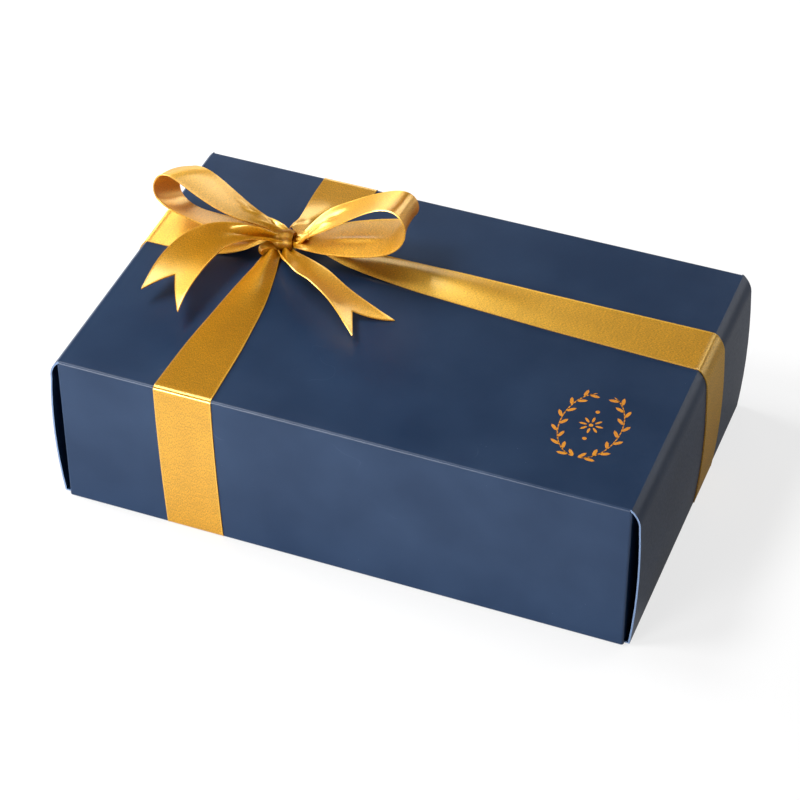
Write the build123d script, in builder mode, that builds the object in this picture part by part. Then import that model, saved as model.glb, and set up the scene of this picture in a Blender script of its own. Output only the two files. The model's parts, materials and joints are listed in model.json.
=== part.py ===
from build123d import *
import math
import os

os.makedirs("parts", exist_ok=True)

# A chocolate box of folded paperboard, tied crosswise with a satin ribbon and a bow.
# Millimetres, +Z up. The origin is on the table, under the middle of the box.
# X runs along the length and the front is on the -Y side.

# Box
box_length = 250.0
box_width = 156.0
box_height = 74.0
board = 0.7
crease = 1.1
rim_gap = 0.6
wall_flare = 1.4
ear_face_setback = 0.7
ear_length = 38.0
ear_drop = 1.4
end_edge_setback = 0.3
end_crease_setback = 1.2
inner_panel_drop = 3.0
fold_gap = 0.2

# Bow of the two rolled end walls
shoulder_reach = 2.9
shoulder_drop = 9.2
right_bulge = 3.6
right_foot = 1.5
left_bulge = 4.5
left_foot = 2.3
bulge_height_share = 0.54
shoulder_bend_share = (0.36, 0.28)

# Ribbon and bow
ribbon_width = 25.0
ribbon = 0.4
ribbon_turn_in = 14.0
bow_thickness = 0.6
crosswise_curl = 0.8
knot_place_shares = (-0.248, 0.154)
knot_length = 7.0
knot_width = 11.0
knot_height = 10.5
knot_gap = 0.3
knot_lift = 0.1
hitch_length = 5.5
hitch_width = 4.4
hitch_height = 5.4
hitch_lift = 1.0
front_band_slant = -5.3
front_band_drift = 1.6
back_band_slant = 5.4
left_band_slant = -3.5
right_band_slant = -0.6
band_shares = ((0.0, 0.3), (0.2, 0.58), (0.35, 0.74), (0.65, 0.91), (1.0, 1.0))
right_loop_reach = 57.0
right_loop_rise = 44.5
left_loop_reach = 59.5
left_loop_rise = 34.0
left_tail_reach = 49.0
left_tail_drop = 59.0
left_tail_rise = 16.0
left_notch = 15.0
right_tail_reach = 59.0
right_tail_drop = 48.0
right_tail_rise = 12.5
right_notch = 13.0

# Tray and the two layers
tray_gap = 0.4
tray_rim_gap = 0.3
tray_inner_lift = 0.3
tray_ear_length = 34.0
layer_gap = 0.6
seat_gap = 0.2
lip_height = 12.0
finger_notch = 11.0
card = 0.6
rows = 4
slot_clearance = 0.3
strip_gap = 0.5
cup_gap = 1.6
cup_flare = 2.5
cup_height = 16.0
cup_corner = 8.0
cup_paper = 0.4

# Chocolates, one kind to a column of cells. Their sizes are shares of the room in a cup.
kind_names = ("square", "truffle", "heart", "bar", "domed", "pyramid")
chocolate_gap = 1.1
square_share = 0.96
square_height_share = 0.59
square_corner_share = 0.16
square_bevel_share = 0.08
truffle_height_share = 0.86
dome_brim_share = 0.16
dome_height_share = 0.67
bar_width_share = 0.68
bar_height_share = 0.55
bar_corner_share = 0.16
bar_bevel_share = 0.1
heart_share = 0.96
heart_height_share = 0.51
heart_bevel_share = 0.08
pyramid_share = 0.96
pyramid_top_share = 0.44
pyramid_corner_share = 0.12
pyramid_height_share = 0.71

# Cushion pad
pad_thickness = 8.2
pad_gap = 0.4
pad_corner = 6.0
pad_draw_in = 1.2
pad_channel_width = 3.0
pad_channel_depth = 1.2
pad_channels = 5

# Places that follow from the sizes above
half_length = box_length / 2
half_width = box_width / 2
top = box_height
under_top = top - board
end_start = half_length - end_crease_setback
inner_crease = crease - board
ear_outer = half_length - ear_face_setback
fold_x = ear_outer - crease
ear_inner = ear_outer - board
panel_outer = ear_inner - fold_gap
panel_inner = panel_outer - board
knot_x = knot_place_shares[0] * box_length
knot_y = knot_place_shares[1] * box_width
knot_left = knot_x - knot_length / 2
knot_right = knot_x + knot_length / 2
knot_front = knot_y - knot_width / 2
knot_back = knot_y + knot_width / 2
knot_middle_z = top + knot_lift + knot_height / 2
hitch_x = knot_left - knot_gap
hitch_y = knot_front + hitch_width / 2
hitch_middle_z = top + hitch_lift + hitch_height / 2

tray_half_length = panel_inner - ribbon - tray_gap
tray_half_width = half_width - board - ribbon - tray_gap
tray_top = under_top - tray_rim_gap
tray_web = 3 * board + 2 * fold_gap
tray_room_length = tray_half_length - tray_web
tray_room_width = tray_half_width - board

layer_half_length = tray_room_length - layer_gap
layer_half_width = tray_room_width - layer_gap
columns = len(kind_names)
cell_length = 2 * (layer_half_length - board) / columns
cell_width = 2 * (layer_half_width - board) / rows
lower_base = board + seat_gap
pad_base = under_top - pad_gap - pad_thickness
cell_depth = (pad_base - lower_base) / 2 - board - seat_gap
upper_base = lower_base + board + cell_depth + seat_gap
cup_mouth = min(cell_length, cell_width) - card - 2 * cup_gap
cup_base = cup_mouth - 2 * cup_flare
room = cup_base - 2 * cup_paper - 2 * chocolate_gap


def draw_fold(centre, radius, start_angle):
    """A quarter turn of a folded sheet, as seen along its crease."""
    return CenterArc(centre, radius, start_angle, 90)


def draw_end_wall(side, bulge, foot, out=0.0, up=0.0, foot_z=rim_gap):
    """The line of a bowed end wall, from the top crease down to its foot, moved out and up."""
    bend_out, bend_down = shoulder_bend_share
    shoulder_z = top - shoulder_drop
    middle_z = rim_gap + bulge_height_share * (shoulder_z - rim_gap)
    start = (side * (end_start + min(out, 0)), top + up)
    bend = (
        side * (half_length + bend_out * shoulder_reach + out),
        top - bend_down * shoulder_drop + up / 2,
    )
    shoulder = (side * (half_length + shoulder_reach + out), shoulder_z)
    middle = (side * (half_length + bulge + out), middle_z)
    end = (side * (half_length + foot + out), foot_z)
    ThreePointArc(start, bend, shoulder)
    ThreePointArc(shoulder, middle, end)
    return start, end


def draw_ear(side, face, wall_y):
    """The plan outline of an ear, whose fold starts where the long wall ends."""
    bend_y = wall_y - face * crease
    inner_y = wall_y - face * board
    end_y = wall_y - face * ear_length
    outer_x, inner_x = side * ear_outer, side * ear_inner
    slant = crease * (1 - math.sqrt(0.5))
    ThreePointArc(
        (side * fold_x, wall_y), (outer_x - side * slant, wall_y - face * slant), (outer_x, bend_y)
    )
    Polyline((outer_x, bend_y), (outer_x, end_y), (inner_x, end_y), (inner_x, bend_y))
    slant = inner_crease * (1 - math.sqrt(0.5))
    ThreePointArc(
        (inner_x, bend_y), (inner_x - side * slant, inner_y - face * slant), (side * fold_x, inner_y)
    )
    Line((side * fold_x, inner_y), (side * fold_x, wall_y))


# Lid
# One blank: the top and the long walls are a sheet folded along two creases.
with BuildPart() as lid_board:
    with BuildSketch(Plane.YZ.offset(-fold_x)):
        with BuildLine():
            turn_y = half_width - crease
            turn_z = top - crease
            Line((-half_width - wall_flare, rim_gap), (-half_width, turn_z))
            draw_fold((-turn_y, turn_z), crease, 90)
            Line((-turn_y, top), (turn_y, top))
            draw_fold((turn_y, turn_z), crease, 0)
            Line((half_width, turn_z), (half_width + wall_flare, rim_gap))
            Line((half_width + wall_flare, rim_gap), (half_width + wall_flare - board, rim_gap))
            Line((half_width + wall_flare - board, rim_gap), (half_width - board, turn_z))
            draw_fold((turn_y, turn_z), inner_crease, 0)
            Line((turn_y, under_top), (-turn_y, under_top))
            draw_fold((-turn_y, turn_z), inner_crease, 90)
            Line((board - half_width, turn_z), (board - half_width - wall_flare, rim_gap))
            Line((board - half_width - wall_flare, rim_gap), (-half_width - wall_flare, rim_gap))
        make_face()
    extrude(amount=2 * fold_x)

    # Four ears, which the long walls turn round the corners.
    for side in (-1, 1):
        for face in (-1, 1):
            for level, wall in ((rim_gap, half_width + wall_flare), (top - ear_drop, half_width)):
                with BuildSketch(Plane.XY.offset(level)):
                    with BuildLine():
                        draw_ear(side, face, face * wall)
                    make_face()
            loft(ruled=True)

    # The end walls roll down over the ears, turn in at the rim and stand up again inside.
    for side, bulge, foot in ((-1, left_bulge, left_foot), (1, right_bulge, right_foot)):
        inside_x = side * panel_inner
        with BuildSketch(Plane.XZ):
            with BuildLine():
                crest, toe = draw_end_wall(side, bulge, foot)
                inner_crest, inner_toe = draw_end_wall(
                    side, bulge, foot, out=-board, up=-board, foot_z=rim_gap + board
                )
                Polyline(toe, (inside_x, rim_gap), (inside_x, rim_gap + board), inner_toe)
                Polyline(crest, (side * fold_x, top), (side * fold_x, under_top), inner_crest)
            make_face()
        extrude(amount=half_width - end_edge_setback, both=True)
        with BuildSketch(Plane.XY.offset(rim_gap)):
            with Locations((side * (panel_inner + board / 2), 0)):
                Rectangle(board, 2 * (half_width - board - fold_gap))
        extrude(amount=under_top - inner_panel_drop - rim_gap)
lid_board.part.label = "lid_board"
export_step(lid_board.part, "parts/lid_board.step")


# Ribbon bands
# Each band is a strip bent over the lid and under its rim, then cut to its plan outline,
# which is gathered at the knot and reaches the full width at the box's edge.
def draw_long_wall_band(face, start_y):
    """The section of a band that runs over a long crease, down the wall and under the rim."""
    foot_y = half_width + wall_flare
    inside_y = foot_y - board
    lean = wall_flare * ribbon_turn_in / (top - crease - rim_gap)
    turn_y = half_width - crease
    turn_z = top - crease
    start_angle = 0 if face > 0 else 90
    Line((start_y, top), (face * turn_y, top))
    draw_fold((face * turn_y, turn_z), crease, start_angle)
    Polyline(
        (face * half_width, turn_z),
        (face * foot_y, rim_gap),
        (face * inside_y, rim_gap),
        (face * (inside_y - lean), rim_gap + ribbon_turn_in),
        (face * (inside_y - lean - ribbon), rim_gap + ribbon_turn_in),
        (face * (inside_y - ribbon), rim_gap - ribbon),
        (face * (foot_y + ribbon), rim_gap - ribbon),
        (face * (half_width + ribbon), turn_z),
    )
    draw_fold((face * turn_y, turn_z), crease + ribbon, start_angle)
    Polyline((face * turn_y, top + ribbon), (start_y, top + ribbon), (start_y, top))


def draw_end_wall_band(side, bulge, foot, start_x):
    """The section of a band that runs over an end crease, down the bowed wall and under the rim."""
    crest, toe = draw_end_wall(side, bulge, foot)
    outer_crest, outer_toe = draw_end_wall(
        side, bulge, foot, out=ribbon, up=ribbon, foot_z=rim_gap - ribbon
    )
    inside_x = side * panel_inner
    turned_x = side * (panel_inner - ribbon)
    Polyline(
        toe,
        (inside_x, rim_gap),
        (inside_x, rim_gap + ribbon_turn_in),
        (turned_x, rim_gap + ribbon_turn_in),
        (turned_x, rim_gap - ribbon),
        outer_toe,
    )
    Polyline(crest, (start_x, top), (start_x, top + ribbon), outer_crest)


def plan_points(start, edge, knot_centre, edge_centre):
    """The plan outline of a band as (along, across) points."""
    near, far = [], []
    for along_share, width_share in band_shares:
        along = start + along_share * (edge - start)
        centre = knot_centre + along_share * (edge_centre - knot_centre)
        near.append((along, centre - width_share * ribbon_width / 2))
        far.append((along, centre + width_share * ribbon_width / 2))
    beyond = math.copysign(box_height, edge)
    near.append((edge + beyond, edge_centre - ribbon_width / 2))
    far.append((edge + beyond, edge_centre + ribbon_width / 2))
    return near + far[::-1]


def plan_faces(points, along_x, drift=0.0):
    """The plan outline at three levels. Going down the wall, it drifts sideways."""
    faces = []
    for level, shift in ((rim_gap - board, drift), (top, 0.0), (top + board, 0.0)):
        with BuildSketch(Plane.XY.offset(level)) as plan:
            with BuildLine():
                if along_x:
                    Polyline(*[(x, y + shift) for x, y in points], close=True)
                else:
                    Polyline(*[(x + shift, y) for y, x in points], close=True)
            make_face()
        faces.append(plan.sketch.face())
    return faces


with BuildPart() as ribbon_front_band:
    start_y = knot_front - knot_gap
    with BuildSketch(Plane.YZ):
        with BuildLine():
            draw_long_wall_band(-1, start_y)
        make_face()
    extrude(amount=half_length, both=True)
    outline = plan_points(start_y, -half_width, knot_x, knot_x + front_band_slant)
    loft(plan_faces(outline, False, front_band_drift), ruled=True, mode=Mode.INTERSECT)
ribbon_front_band.part.label = "ribbon_front_band"
export_step(ribbon_front_band.part, "parts/ribbon_front_band.step")

with BuildPart() as ribbon_back_band:
    start_y = knot_back + knot_gap
    with BuildSketch(Plane.YZ):
        with BuildLine():
            draw_long_wall_band(1, start_y)
        make_face()
    extrude(amount=half_length, both=True)
    outline = plan_points(start_y, half_width, knot_x, knot_x + back_band_slant)
    loft(plan_faces(outline, False), ruled=True, mode=Mode.INTERSECT)
ribbon_back_band.part.label = "ribbon_back_band"
export_step(ribbon_back_band.part, "parts/ribbon_back_band.step")

with BuildPart() as ribbon_left_band:
    start_x = knot_left - knot_gap
    with BuildSketch(Plane.XZ):
        with BuildLine():
            draw_end_wall_band(-1, left_bulge, left_foot, start_x)
        make_face()
    extrude(amount=half_width, both=True)
    outline = plan_points(start_x, -half_length, knot_y, knot_y + left_band_slant)
    loft(plan_faces(outline, True), ruled=True, mode=Mode.INTERSECT)
ribbon_left_band.part.label = "ribbon_left_band"
export_step(ribbon_left_band.part, "parts/ribbon_left_band.step")

with BuildPart() as ribbon_right_band:
    start_x = knot_right + knot_gap
    with BuildSketch(Plane.XZ):
        with BuildLine():
            draw_end_wall_band(1, right_bulge, right_foot, start_x)
        make_face()
    extrude(amount=half_width, both=True)
    outline = plan_points(start_x, half_length, knot_y, knot_y + right_band_slant)
    loft(plan_faces(outline, True), ruled=True, mode=Mode.INTERSECT)
ribbon_right_band.part.label = "ribbon_right_band"
export_step(ribbon_right_band.part, "parts/ribbon_right_band.step")


# Bow
# A stretch of the bow is a loft through sections across the ribbon. Each section goes from a
# point on its front edge to a point on its back edge, given as shares of the stretch's reach
# in X, of the ribbon's width or the tail's drop in Y, and of its rise in Z, from the knot's foot.
def edge_points(shares, reach, across, rise):
    """Pairs of edge points from rows of shares: front x, y, z, then back x, y, z."""
    pairs = []
    for front_x, front_y, front_z, back_x, back_y, back_z in shares:
        front = Vector(knot_x + front_x * reach, knot_y + front_y * across, top + front_z * rise)
        back = Vector(knot_x + back_x * reach, knot_y + back_y * across, top + back_z * rise)
        pairs.append((front, back))
    return pairs


def section_planes(pairs):
    """A plane at each pair of edge points, square to the way that the ribbon runs."""
    middles = [(front + back) / 2 for front, back in pairs]
    planes = []
    for i, (front, back) in enumerate(pairs):
        before = middles[max(i - 1, 0)]
        after = middles[min(i + 1, len(middles) - 1)]
        across = (back - front).normalized()
        along = (after - before).normalized()
        along = (along - across * along.dot(across)).normalized()
        planes.append((Plane(origin=middles[i], x_dir=across, z_dir=along), (back - front).length))
    return planes


def ribbon_faces(pairs, curl):
    """A curled section of the ribbon at each pair of edge points."""
    half_thick = bow_thickness / 2
    faces = []
    for plane, width in section_planes(pairs):
        with BuildSketch(plane) as section:
            with BuildLine():
                left, right = -width / 2, width / 2
                ThreePointArc((left, half_thick), (0, curl + half_thick), (right, half_thick))
                Line((right, half_thick), (right, -half_thick))
                ThreePointArc((right, -half_thick), (0, curl - half_thick), (left, -half_thick))
                Line((left, -half_thick), (left, half_thick))
            make_face()
        faces.append(section.sketch.face())
    return faces


def notch_face(pairs, depth):
    """The triangle that makes a tail's end a swallowtail, in the plane of the ribbon there."""
    plane, width = section_planes(pairs)[-1]
    across, along = plane.x_dir, plane.z_dir
    flat = Plane(origin=plane.origin, x_dir=across, z_dir=across.cross(along))
    with BuildSketch(flat) as notch:
        with BuildLine():
            Polyline(
                (-width / 2, 0),
                (0, -depth),
                (width / 2, 0),
                (width / 2, bow_thickness),
                (-width / 2, bow_thickness),
                close=True,
            )
        make_face()
    return notch.sketch.face()


right_loop_shares = (
    (0.09, -0.12, 0.15, 0.09, 0.14, 0.16),
    (0.16, -0.28, 0.34, 0.12, 0.30, 0.28),
    (0.30, -0.42, 0.50, 0.22, 0.44, 0.42),
    (0.49, -0.48, 0.71, 0.37, 0.48, 0.53),
    (0.67, -0.48, 0.88, 0.56, 0.48, 0.68),
    (0.82, -0.48, 0.99, 0.75, 0.48, 0.80),
    (0.93, -0.48, 0.97, 0.87, 0.48, 0.81),
    (0.99, -0.48, 0.85, 0.94, 0.48, 0.71),
    (0.99, -0.48, 0.68, 0.93, 0.48, 0.58),
    (0.91, -0.48, 0.51, 0.85, 0.48, 0.50),
    (0.77, -0.48, 0.41, 0.71, 0.48, 0.45),
    (0.56, -0.48, 0.33, 0.53, 0.48, 0.37),
    (0.35, -0.44, 0.27, 0.34, 0.44, 0.29),
    (0.18, -0.30, 0.19, 0.16, 0.30, 0.18),
    (0.07, -0.14, 0.08, 0.07, 0.14, 0.08),
)
with BuildPart() as bow_right_loop:
    edges = edge_points(right_loop_shares, right_loop_reach, ribbon_width, right_loop_rise)
    loft(ribbon_faces(edges, crosswise_curl), ruled=True)
bow_right_loop.part.label = "bow_right_loop"
export_step(bow_right_loop.part, "parts/bow_right_loop.step")

left_loop_shares = (
    (-0.07, 0.02, 0.23, -0.07, 0.22, 0.22),
    (-0.20, -0.04, 0.32, -0.20, 0.30, 0.24),
    (-0.32, -0.20, 0.42, -0.31, 0.37, 0.28),
    (-0.45, -0.34, 0.55, -0.42, 0.42, 0.35),
    (-0.60, -0.40, 0.71, -0.54, 0.50, 0.44),
    (-0.75, -0.40, 0.88, -0.66, 0.53, 0.58),
    (-0.87, -0.40, 1.00, -0.77, 0.53, 0.70),
    (-0.95, -0.40, 0.96, -0.88, 0.53, 0.68),
    (-0.99, -0.40, 0.83, -0.95, 0.53, 0.55),
    (-1.00, -0.40, 0.69, -0.99, 0.52, 0.37),
    (-0.97, -0.40, 0.55, -0.98, 0.50, 0.21),
    (-0.88, -0.40, 0.46, -0.91, 0.46, 0.10),
    (-0.74, -0.40, 0.39, -0.78, 0.43, 0.06),
    (-0.58, -0.38, 0.31, -0.61, 0.40, 0.07),
    (-0.40, -0.32, 0.22, -0.41, 0.34, 0.09),
    (-0.22, -0.10, 0.14, -0.23, 0.28, 0.09),
    (-0.07, 0.02, 0.10, -0.07, 0.22, 0.10),
)
with BuildPart() as bow_left_loop:
    edges = edge_points(left_loop_shares, left_loop_reach, ribbon_width, left_loop_rise)
    loft(ribbon_faces(edges, -crosswise_curl), ruled=True)
bow_left_loop.part.label = "bow_left_loop"
export_step(bow_left_loop.part, "parts/bow_left_loop.step")

left_tail_shares = (
    (-0.08, -0.11, 0.51, -0.08, -0.04, 0.58),
    (-0.26, -0.17, 0.68, -0.28, -0.08, 0.84),
    (-0.38, -0.28, 0.78, -0.50, -0.14, 0.98),
    (-0.43, -0.40, 0.86, -0.67, -0.23, 1.02),
    (-0.46, -0.56, 0.84, -0.81, -0.31, 0.88),
    (-0.50, -0.71, 0.73, -0.91, -0.46, 0.70),
    (-0.54, -0.87, 0.46, -0.98, -0.63, 0.38),
    (-0.56, -0.99, 0.19, -1.00, -0.81, 0.045),
)
with BuildPart() as bow_left_tail:
    edges = edge_points(left_tail_shares, left_tail_reach, left_tail_drop, left_tail_rise)
    loft(ribbon_faces(edges, -crosswise_curl), ruled=True)
    extrude(notch_face(edges, left_notch), amount=ribbon_width / 2, both=True, mode=Mode.SUBTRACT)
bow_left_tail.part.label = "bow_left_tail"
export_step(bow_left_tail.part, "parts/bow_left_tail.step")

right_tail_shares = (
    (0.02, -0.22, 0.34, 0.07, -0.11, 0.36),
    (0.05, -0.35, 0.58, 0.13, -0.21, 0.56),
    (0.13, -0.43, 0.72, 0.23, -0.26, 0.68),
    (0.22, -0.50, 0.80, 0.36, -0.31, 0.72),
    (0.31, -0.56, 0.86, 0.50, -0.42, 0.66),
    (0.41, -0.64, 0.90, 0.64, -0.51, 0.56),
    (0.53, -0.73, 0.86, 0.78, -0.56, 0.36),
    (0.66, -0.86, 0.66, 0.90, -0.58, 0.20),
    (0.79, -0.99, 0.36, 0.99, -0.60, 0.055),
)
with BuildPart() as bow_right_tail:
    edges = edge_points(right_tail_shares, right_tail_reach, right_tail_drop, right_tail_rise)
    loft(ribbon_faces(edges, crosswise_curl), ruled=True)
    extrude(notch_face(edges, right_notch), amount=ribbon_width / 2, both=True, mode=Mode.SUBTRACT)
bow_right_tail.part.label = "bow_right_tail"
export_step(bow_right_tail.part, "parts/bow_right_tail.step")

# The knot swells in the middle. Its second hitch sits at the left end, low on the front side.
knot_shares = ((-0.5, 0.62), (-0.25, 0.92), (0.25, 1.0), (0.5, 0.66))
knot_corner_share = 0.33
with BuildPart() as bow_knot:
    for middle_x, middle_y, middle_z, length, width, height in (
        (knot_x, knot_y, knot_middle_z, knot_length, knot_width, knot_height),
        (hitch_x, hitch_y, hitch_middle_z, hitch_length, hitch_width, hitch_height),
    ):
        for along_share, size_share in knot_shares:
            with BuildSketch(Plane.YZ.offset(middle_x + along_share * length)):
                with Locations((middle_y, middle_z)):
                    wide = size_share * width
                    high = size_share * height
                    RectangleRounded(wide, high, knot_corner_share * min(wide, high))
        loft(ruled=True)
bow_knot.part.label = "bow_knot"
export_step(bow_knot.part, "parts/bow_knot.step")


# Tray
# One blank: the floor with single long walls and ears, and rolled end walls over the ears.
with BuildPart() as tray_board:
    with BuildSketch(Plane.YZ):
        with BuildLine():
            Polyline(
                (-tray_half_width, tray_top),
                (-tray_half_width, 0),
                (tray_half_width, 0),
                (tray_half_width, tray_top),
                (tray_room_width, tray_top),
                (tray_room_width, board),
                (-tray_room_width, board),
                (-tray_room_width, tray_top),
                close=True,
            )
        make_face()
    extrude(amount=tray_half_length - board - fold_gap, both=True)
    for side in (-1, 1):
        with BuildSketch(Plane.XZ):
            with BuildLine():
                wall_start = side * (tray_half_length - board - fold_gap)
                outer = side * tray_half_length
                inner = side * tray_room_length
                Polyline(
                    (wall_start, 0),
                    (outer, 0),
                    (outer, tray_top),
                    (inner, tray_top),
                    (inner, board + tray_inner_lift),
                    (inner + side * board, board + tray_inner_lift),
                    (inner + side * board, tray_top - board),
                    (outer - side * board, tray_top - board),
                    (outer - side * board, board),
                    (wall_start, board),
                    close=True,
                )
            make_face()
        extrude(amount=tray_room_width - fold_gap, both=True)
        for face in (-1, 1):
            with BuildSketch(Plane.XY.offset(board + tray_inner_lift)):
                ear_x = side * (tray_half_length - board - fold_gap - board / 2)
                ear_y = face * (tray_half_width - tray_ear_length / 2)
                with Locations((ear_x, ear_y)):
                    Rectangle(board, tray_ear_length)
            extrude(amount=tray_top - 2 * board - 2 * tray_inner_lift)
tray_board.part.label = "tray_board"
export_step(tray_board.part, "parts/tray_board.step")


# Cushion pad
# Embossed paper over wadding: rounded, drawn in at its edges, with pressed channels across.
pad_shares = ((0.0, 1.0), (0.25, 0.35), (0.5, 0.0), (0.75, 0.35), (1.0, 1.0))
with BuildPart() as cushion_pad:
    for level_share, draw_in_share in pad_shares:
        inset = layer_gap + draw_in_share * pad_draw_in
        with BuildSketch(Plane.XY.offset(pad_base + level_share * pad_thickness)):
            RectangleRounded(
                2 * (tray_room_length - inset), 2 * (tray_room_width - inset), pad_corner
            )
    loft(ruled=True)
    with BuildSketch(Plane.XZ.offset(-tray_half_width)):
        pitch = 2 * tray_room_length / (pad_channels + 1)
        with Locations((0, pad_base + pad_thickness)):
            with GridLocations(pitch, pitch, pad_channels, 1):
                Rectangle(pad_channel_width, 2 * pad_channel_depth)
    extrude(amount=2 * tray_half_width, mode=Mode.SUBTRACT)
cushion_pad.part.label = "cushion_pad"
export_step(cushion_pad.part, "parts/cushion_pad.step")


# Paper cup, standing on z = 0 at the origin
with BuildPart() as cup:
    for level, size in ((0, cup_base), (cup_height, cup_mouth)):
        with BuildSketch(Plane.XY.offset(level)):
            RectangleRounded(size, size, cup_corner)
    loft(ruled=True)
    for level, size in ((cup_paper, cup_base), (cup_height + cup_paper, cup_mouth)):
        with BuildSketch(Plane.XY.offset(level)):
            RectangleRounded(size - 2 * cup_paper, size - 2 * cup_paper, cup_corner - cup_paper)
    loft(ruled=True, mode=Mode.SUBTRACT)


def draw_cap(start, crown, radius):
    """An arc about a middle on the axis, from a point up to the crown on the axis."""
    x, z = start
    middle_z = crown - radius
    half_turn = math.atan2(x, z - middle_z) / 2
    ThreePointArc(
        start,
        (radius * math.sin(half_turn), middle_z + radius * math.cos(half_turn)),
        (0, crown),
    )


# Chocolates, each standing on z = 0 at the origin
with BuildPart() as square_praline:
    with BuildSketch():
        RectangleRounded(square_share * room, square_share * room, square_corner_share * room)
    extrude(amount=square_height_share * room)
    chamfer(square_praline.faces().sort_by(Axis.Z)[-1].edges(), length=square_bevel_share * room)

with BuildPart() as round_truffle:
    with BuildSketch(Plane.XZ):
        with BuildLine():
            radius = room / 2
            truffle_height = truffle_height_share * room
            flat = math.sqrt(radius**2 - (truffle_height - radius) ** 2)
            Polyline((0, truffle_height), (0, 0), (flat, 0))
            draw_cap((flat, 0), truffle_height, radius)
        make_face()
    revolve(axis=Axis.Z)

with BuildPart() as domed_praline:
    with BuildSketch(Plane.XZ):
        with BuildLine():
            dome_brim = dome_brim_share * room
            dome_height = dome_height_share * room
            rise = dome_height - dome_brim
            radius = ((room / 2) ** 2 + rise**2) / (2 * rise)
            Polyline((0, dome_height), (0, 0), (room / 2, 0), (room / 2, dome_brim))
            draw_cap((room / 2, dome_brim), dome_height, radius)
        make_face()
    revolve(axis=Axis.Z)

with BuildPart() as bar_praline:
    with BuildSketch():
        RectangleRounded(room, bar_width_share * room, bar_corner_share * room)
    extrude(amount=bar_height_share * room)
    chamfer(bar_praline.faces().sort_by(Axis.Z)[-1].edges(), length=bar_bevel_share * room)

with BuildPart() as heart_praline:
    with BuildSketch():
        with BuildLine():
            lobe = heart_share * room / 4
            tip = (0, -2 * lobe)
            cleft = (0, lobe)
            Line(tip, (2 * lobe, lobe / 2))
            ThreePointArc((2 * lobe, lobe / 2), (lobe, 2 * lobe), cleft)
            ThreePointArc(cleft, (-lobe, 2 * lobe), (-2 * lobe, lobe / 2))
            Line((-2 * lobe, lobe / 2), tip)
        make_face()
    heart_slope = math.atan(heart_bevel_share / heart_height_share)
    extrude(amount=heart_height_share * room, taper=math.degrees(heart_slope))

with BuildPart() as pyramid_praline:
    for level, share in ((0, pyramid_share), (pyramid_height_share * room, pyramid_top_share)):
        with BuildSketch(Plane.XY.offset(level)):
            RectangleRounded(share * room, share * room, share * room * pyramid_corner_share)
    loft(ruled=True)


# Layers
# A layer is a card tray with thumb notches, a divider of half-lapped strips, cups and chocolates.
def cells(level, column=None):
    """The middles of the cells at a level, of one column or of them all."""
    found = []
    for i in range(columns):
        for j in range(rows):
            x = (i - (columns - 1) / 2) * cell_length
            y = (j - (rows - 1) / 2) * cell_width
            if column is None or column == i:
                found.append((x, y, level))
    return found


chocolate_of = {
    "square": square_praline,
    "truffle": round_truffle,
    "heart": heart_praline,
    "bar": bar_praline,
    "domed": domed_praline,
    "pyramid": pyramid_praline,
}

for layer, base in (("lower", lower_base), ("upper", upper_base)):
    deck = base + board

    with BuildPart() as layer_board:
        with BuildSketch(Plane.XY.offset(base)):
            Rectangle(2 * layer_half_length, 2 * layer_half_width)
        extrude(amount=lip_height)
        with BuildSketch(Plane.XY.offset(deck)):
            Rectangle(2 * (layer_half_length - board), 2 * (layer_half_width - board))
        extrude(amount=lip_height, mode=Mode.SUBTRACT)
        with BuildSketch(Plane.YZ):
            with Locations((0, base + lip_height)):
                Circle(finger_notch)
        extrude(amount=box_length, both=True, mode=Mode.SUBTRACT)
    layer_board.part.label = f"{layer}_layer_board"
    export_step(layer_board.part, f"parts/{layer}_layer_board.step")

    strip_half_length = layer_half_length - board - strip_gap
    strip_half_width = layer_half_width - board - strip_gap
    slot = card + slot_clearance
    with BuildPart() as long_strips:
        with BuildSketch(Plane.XY.offset(deck)):
            with GridLocations(cell_length, cell_width, 1, rows - 1):
                Rectangle(2 * strip_half_length, card)
        extrude(amount=cell_depth)
        with BuildSketch(Plane.XY.offset(deck + cell_depth / 2)):
            with GridLocations(cell_length, cell_width, columns - 1, 1):
                Rectangle(slot, 2 * strip_half_width)
        extrude(amount=cell_depth, mode=Mode.SUBTRACT)
    long_strips.part.label = f"{layer}_long_strips"
    export_step(long_strips.part, f"parts/{layer}_long_strips.step")

    with BuildPart() as cross_strips:
        with BuildSketch(Plane.XY.offset(deck)):
            with GridLocations(cell_length, cell_width, columns - 1, 1):
                Rectangle(card, 2 * strip_half_width)
        extrude(amount=cell_depth)
        with BuildSketch(Plane.XY.offset(deck - cell_depth / 2)):
            with GridLocations(cell_length, cell_width, 1, rows - 1):
                Rectangle(2 * strip_half_length, slot)
        extrude(amount=cell_depth, mode=Mode.SUBTRACT)
    cross_strips.part.label = f"{layer}_cross_strips"
    export_step(cross_strips.part, f"parts/{layer}_cross_strips.step")

    with BuildPart() as cups:
        with Locations(*cells(deck)):
            add(cup.part)
    cups.part.label = f"{layer}_cups"
    export_step(cups.part, f"parts/{layer}_cups.step")

    order = kind_names if layer == "lower" else kind_names[::-1]
    for column, kind in enumerate(order):
        with BuildPart() as chocolates:
            with Locations(*cells(deck + cup_paper, column)):
                add(chocolate_of[kind].part)
        chocolates.part.label = f"{layer}_{kind}_chocolates"
        export_step(chocolates.part, f"parts/{layer}_{kind}_chocolates.step")
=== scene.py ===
import json
import math

import bmesh
import bpy
from mathutils import Matrix, Vector

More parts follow.
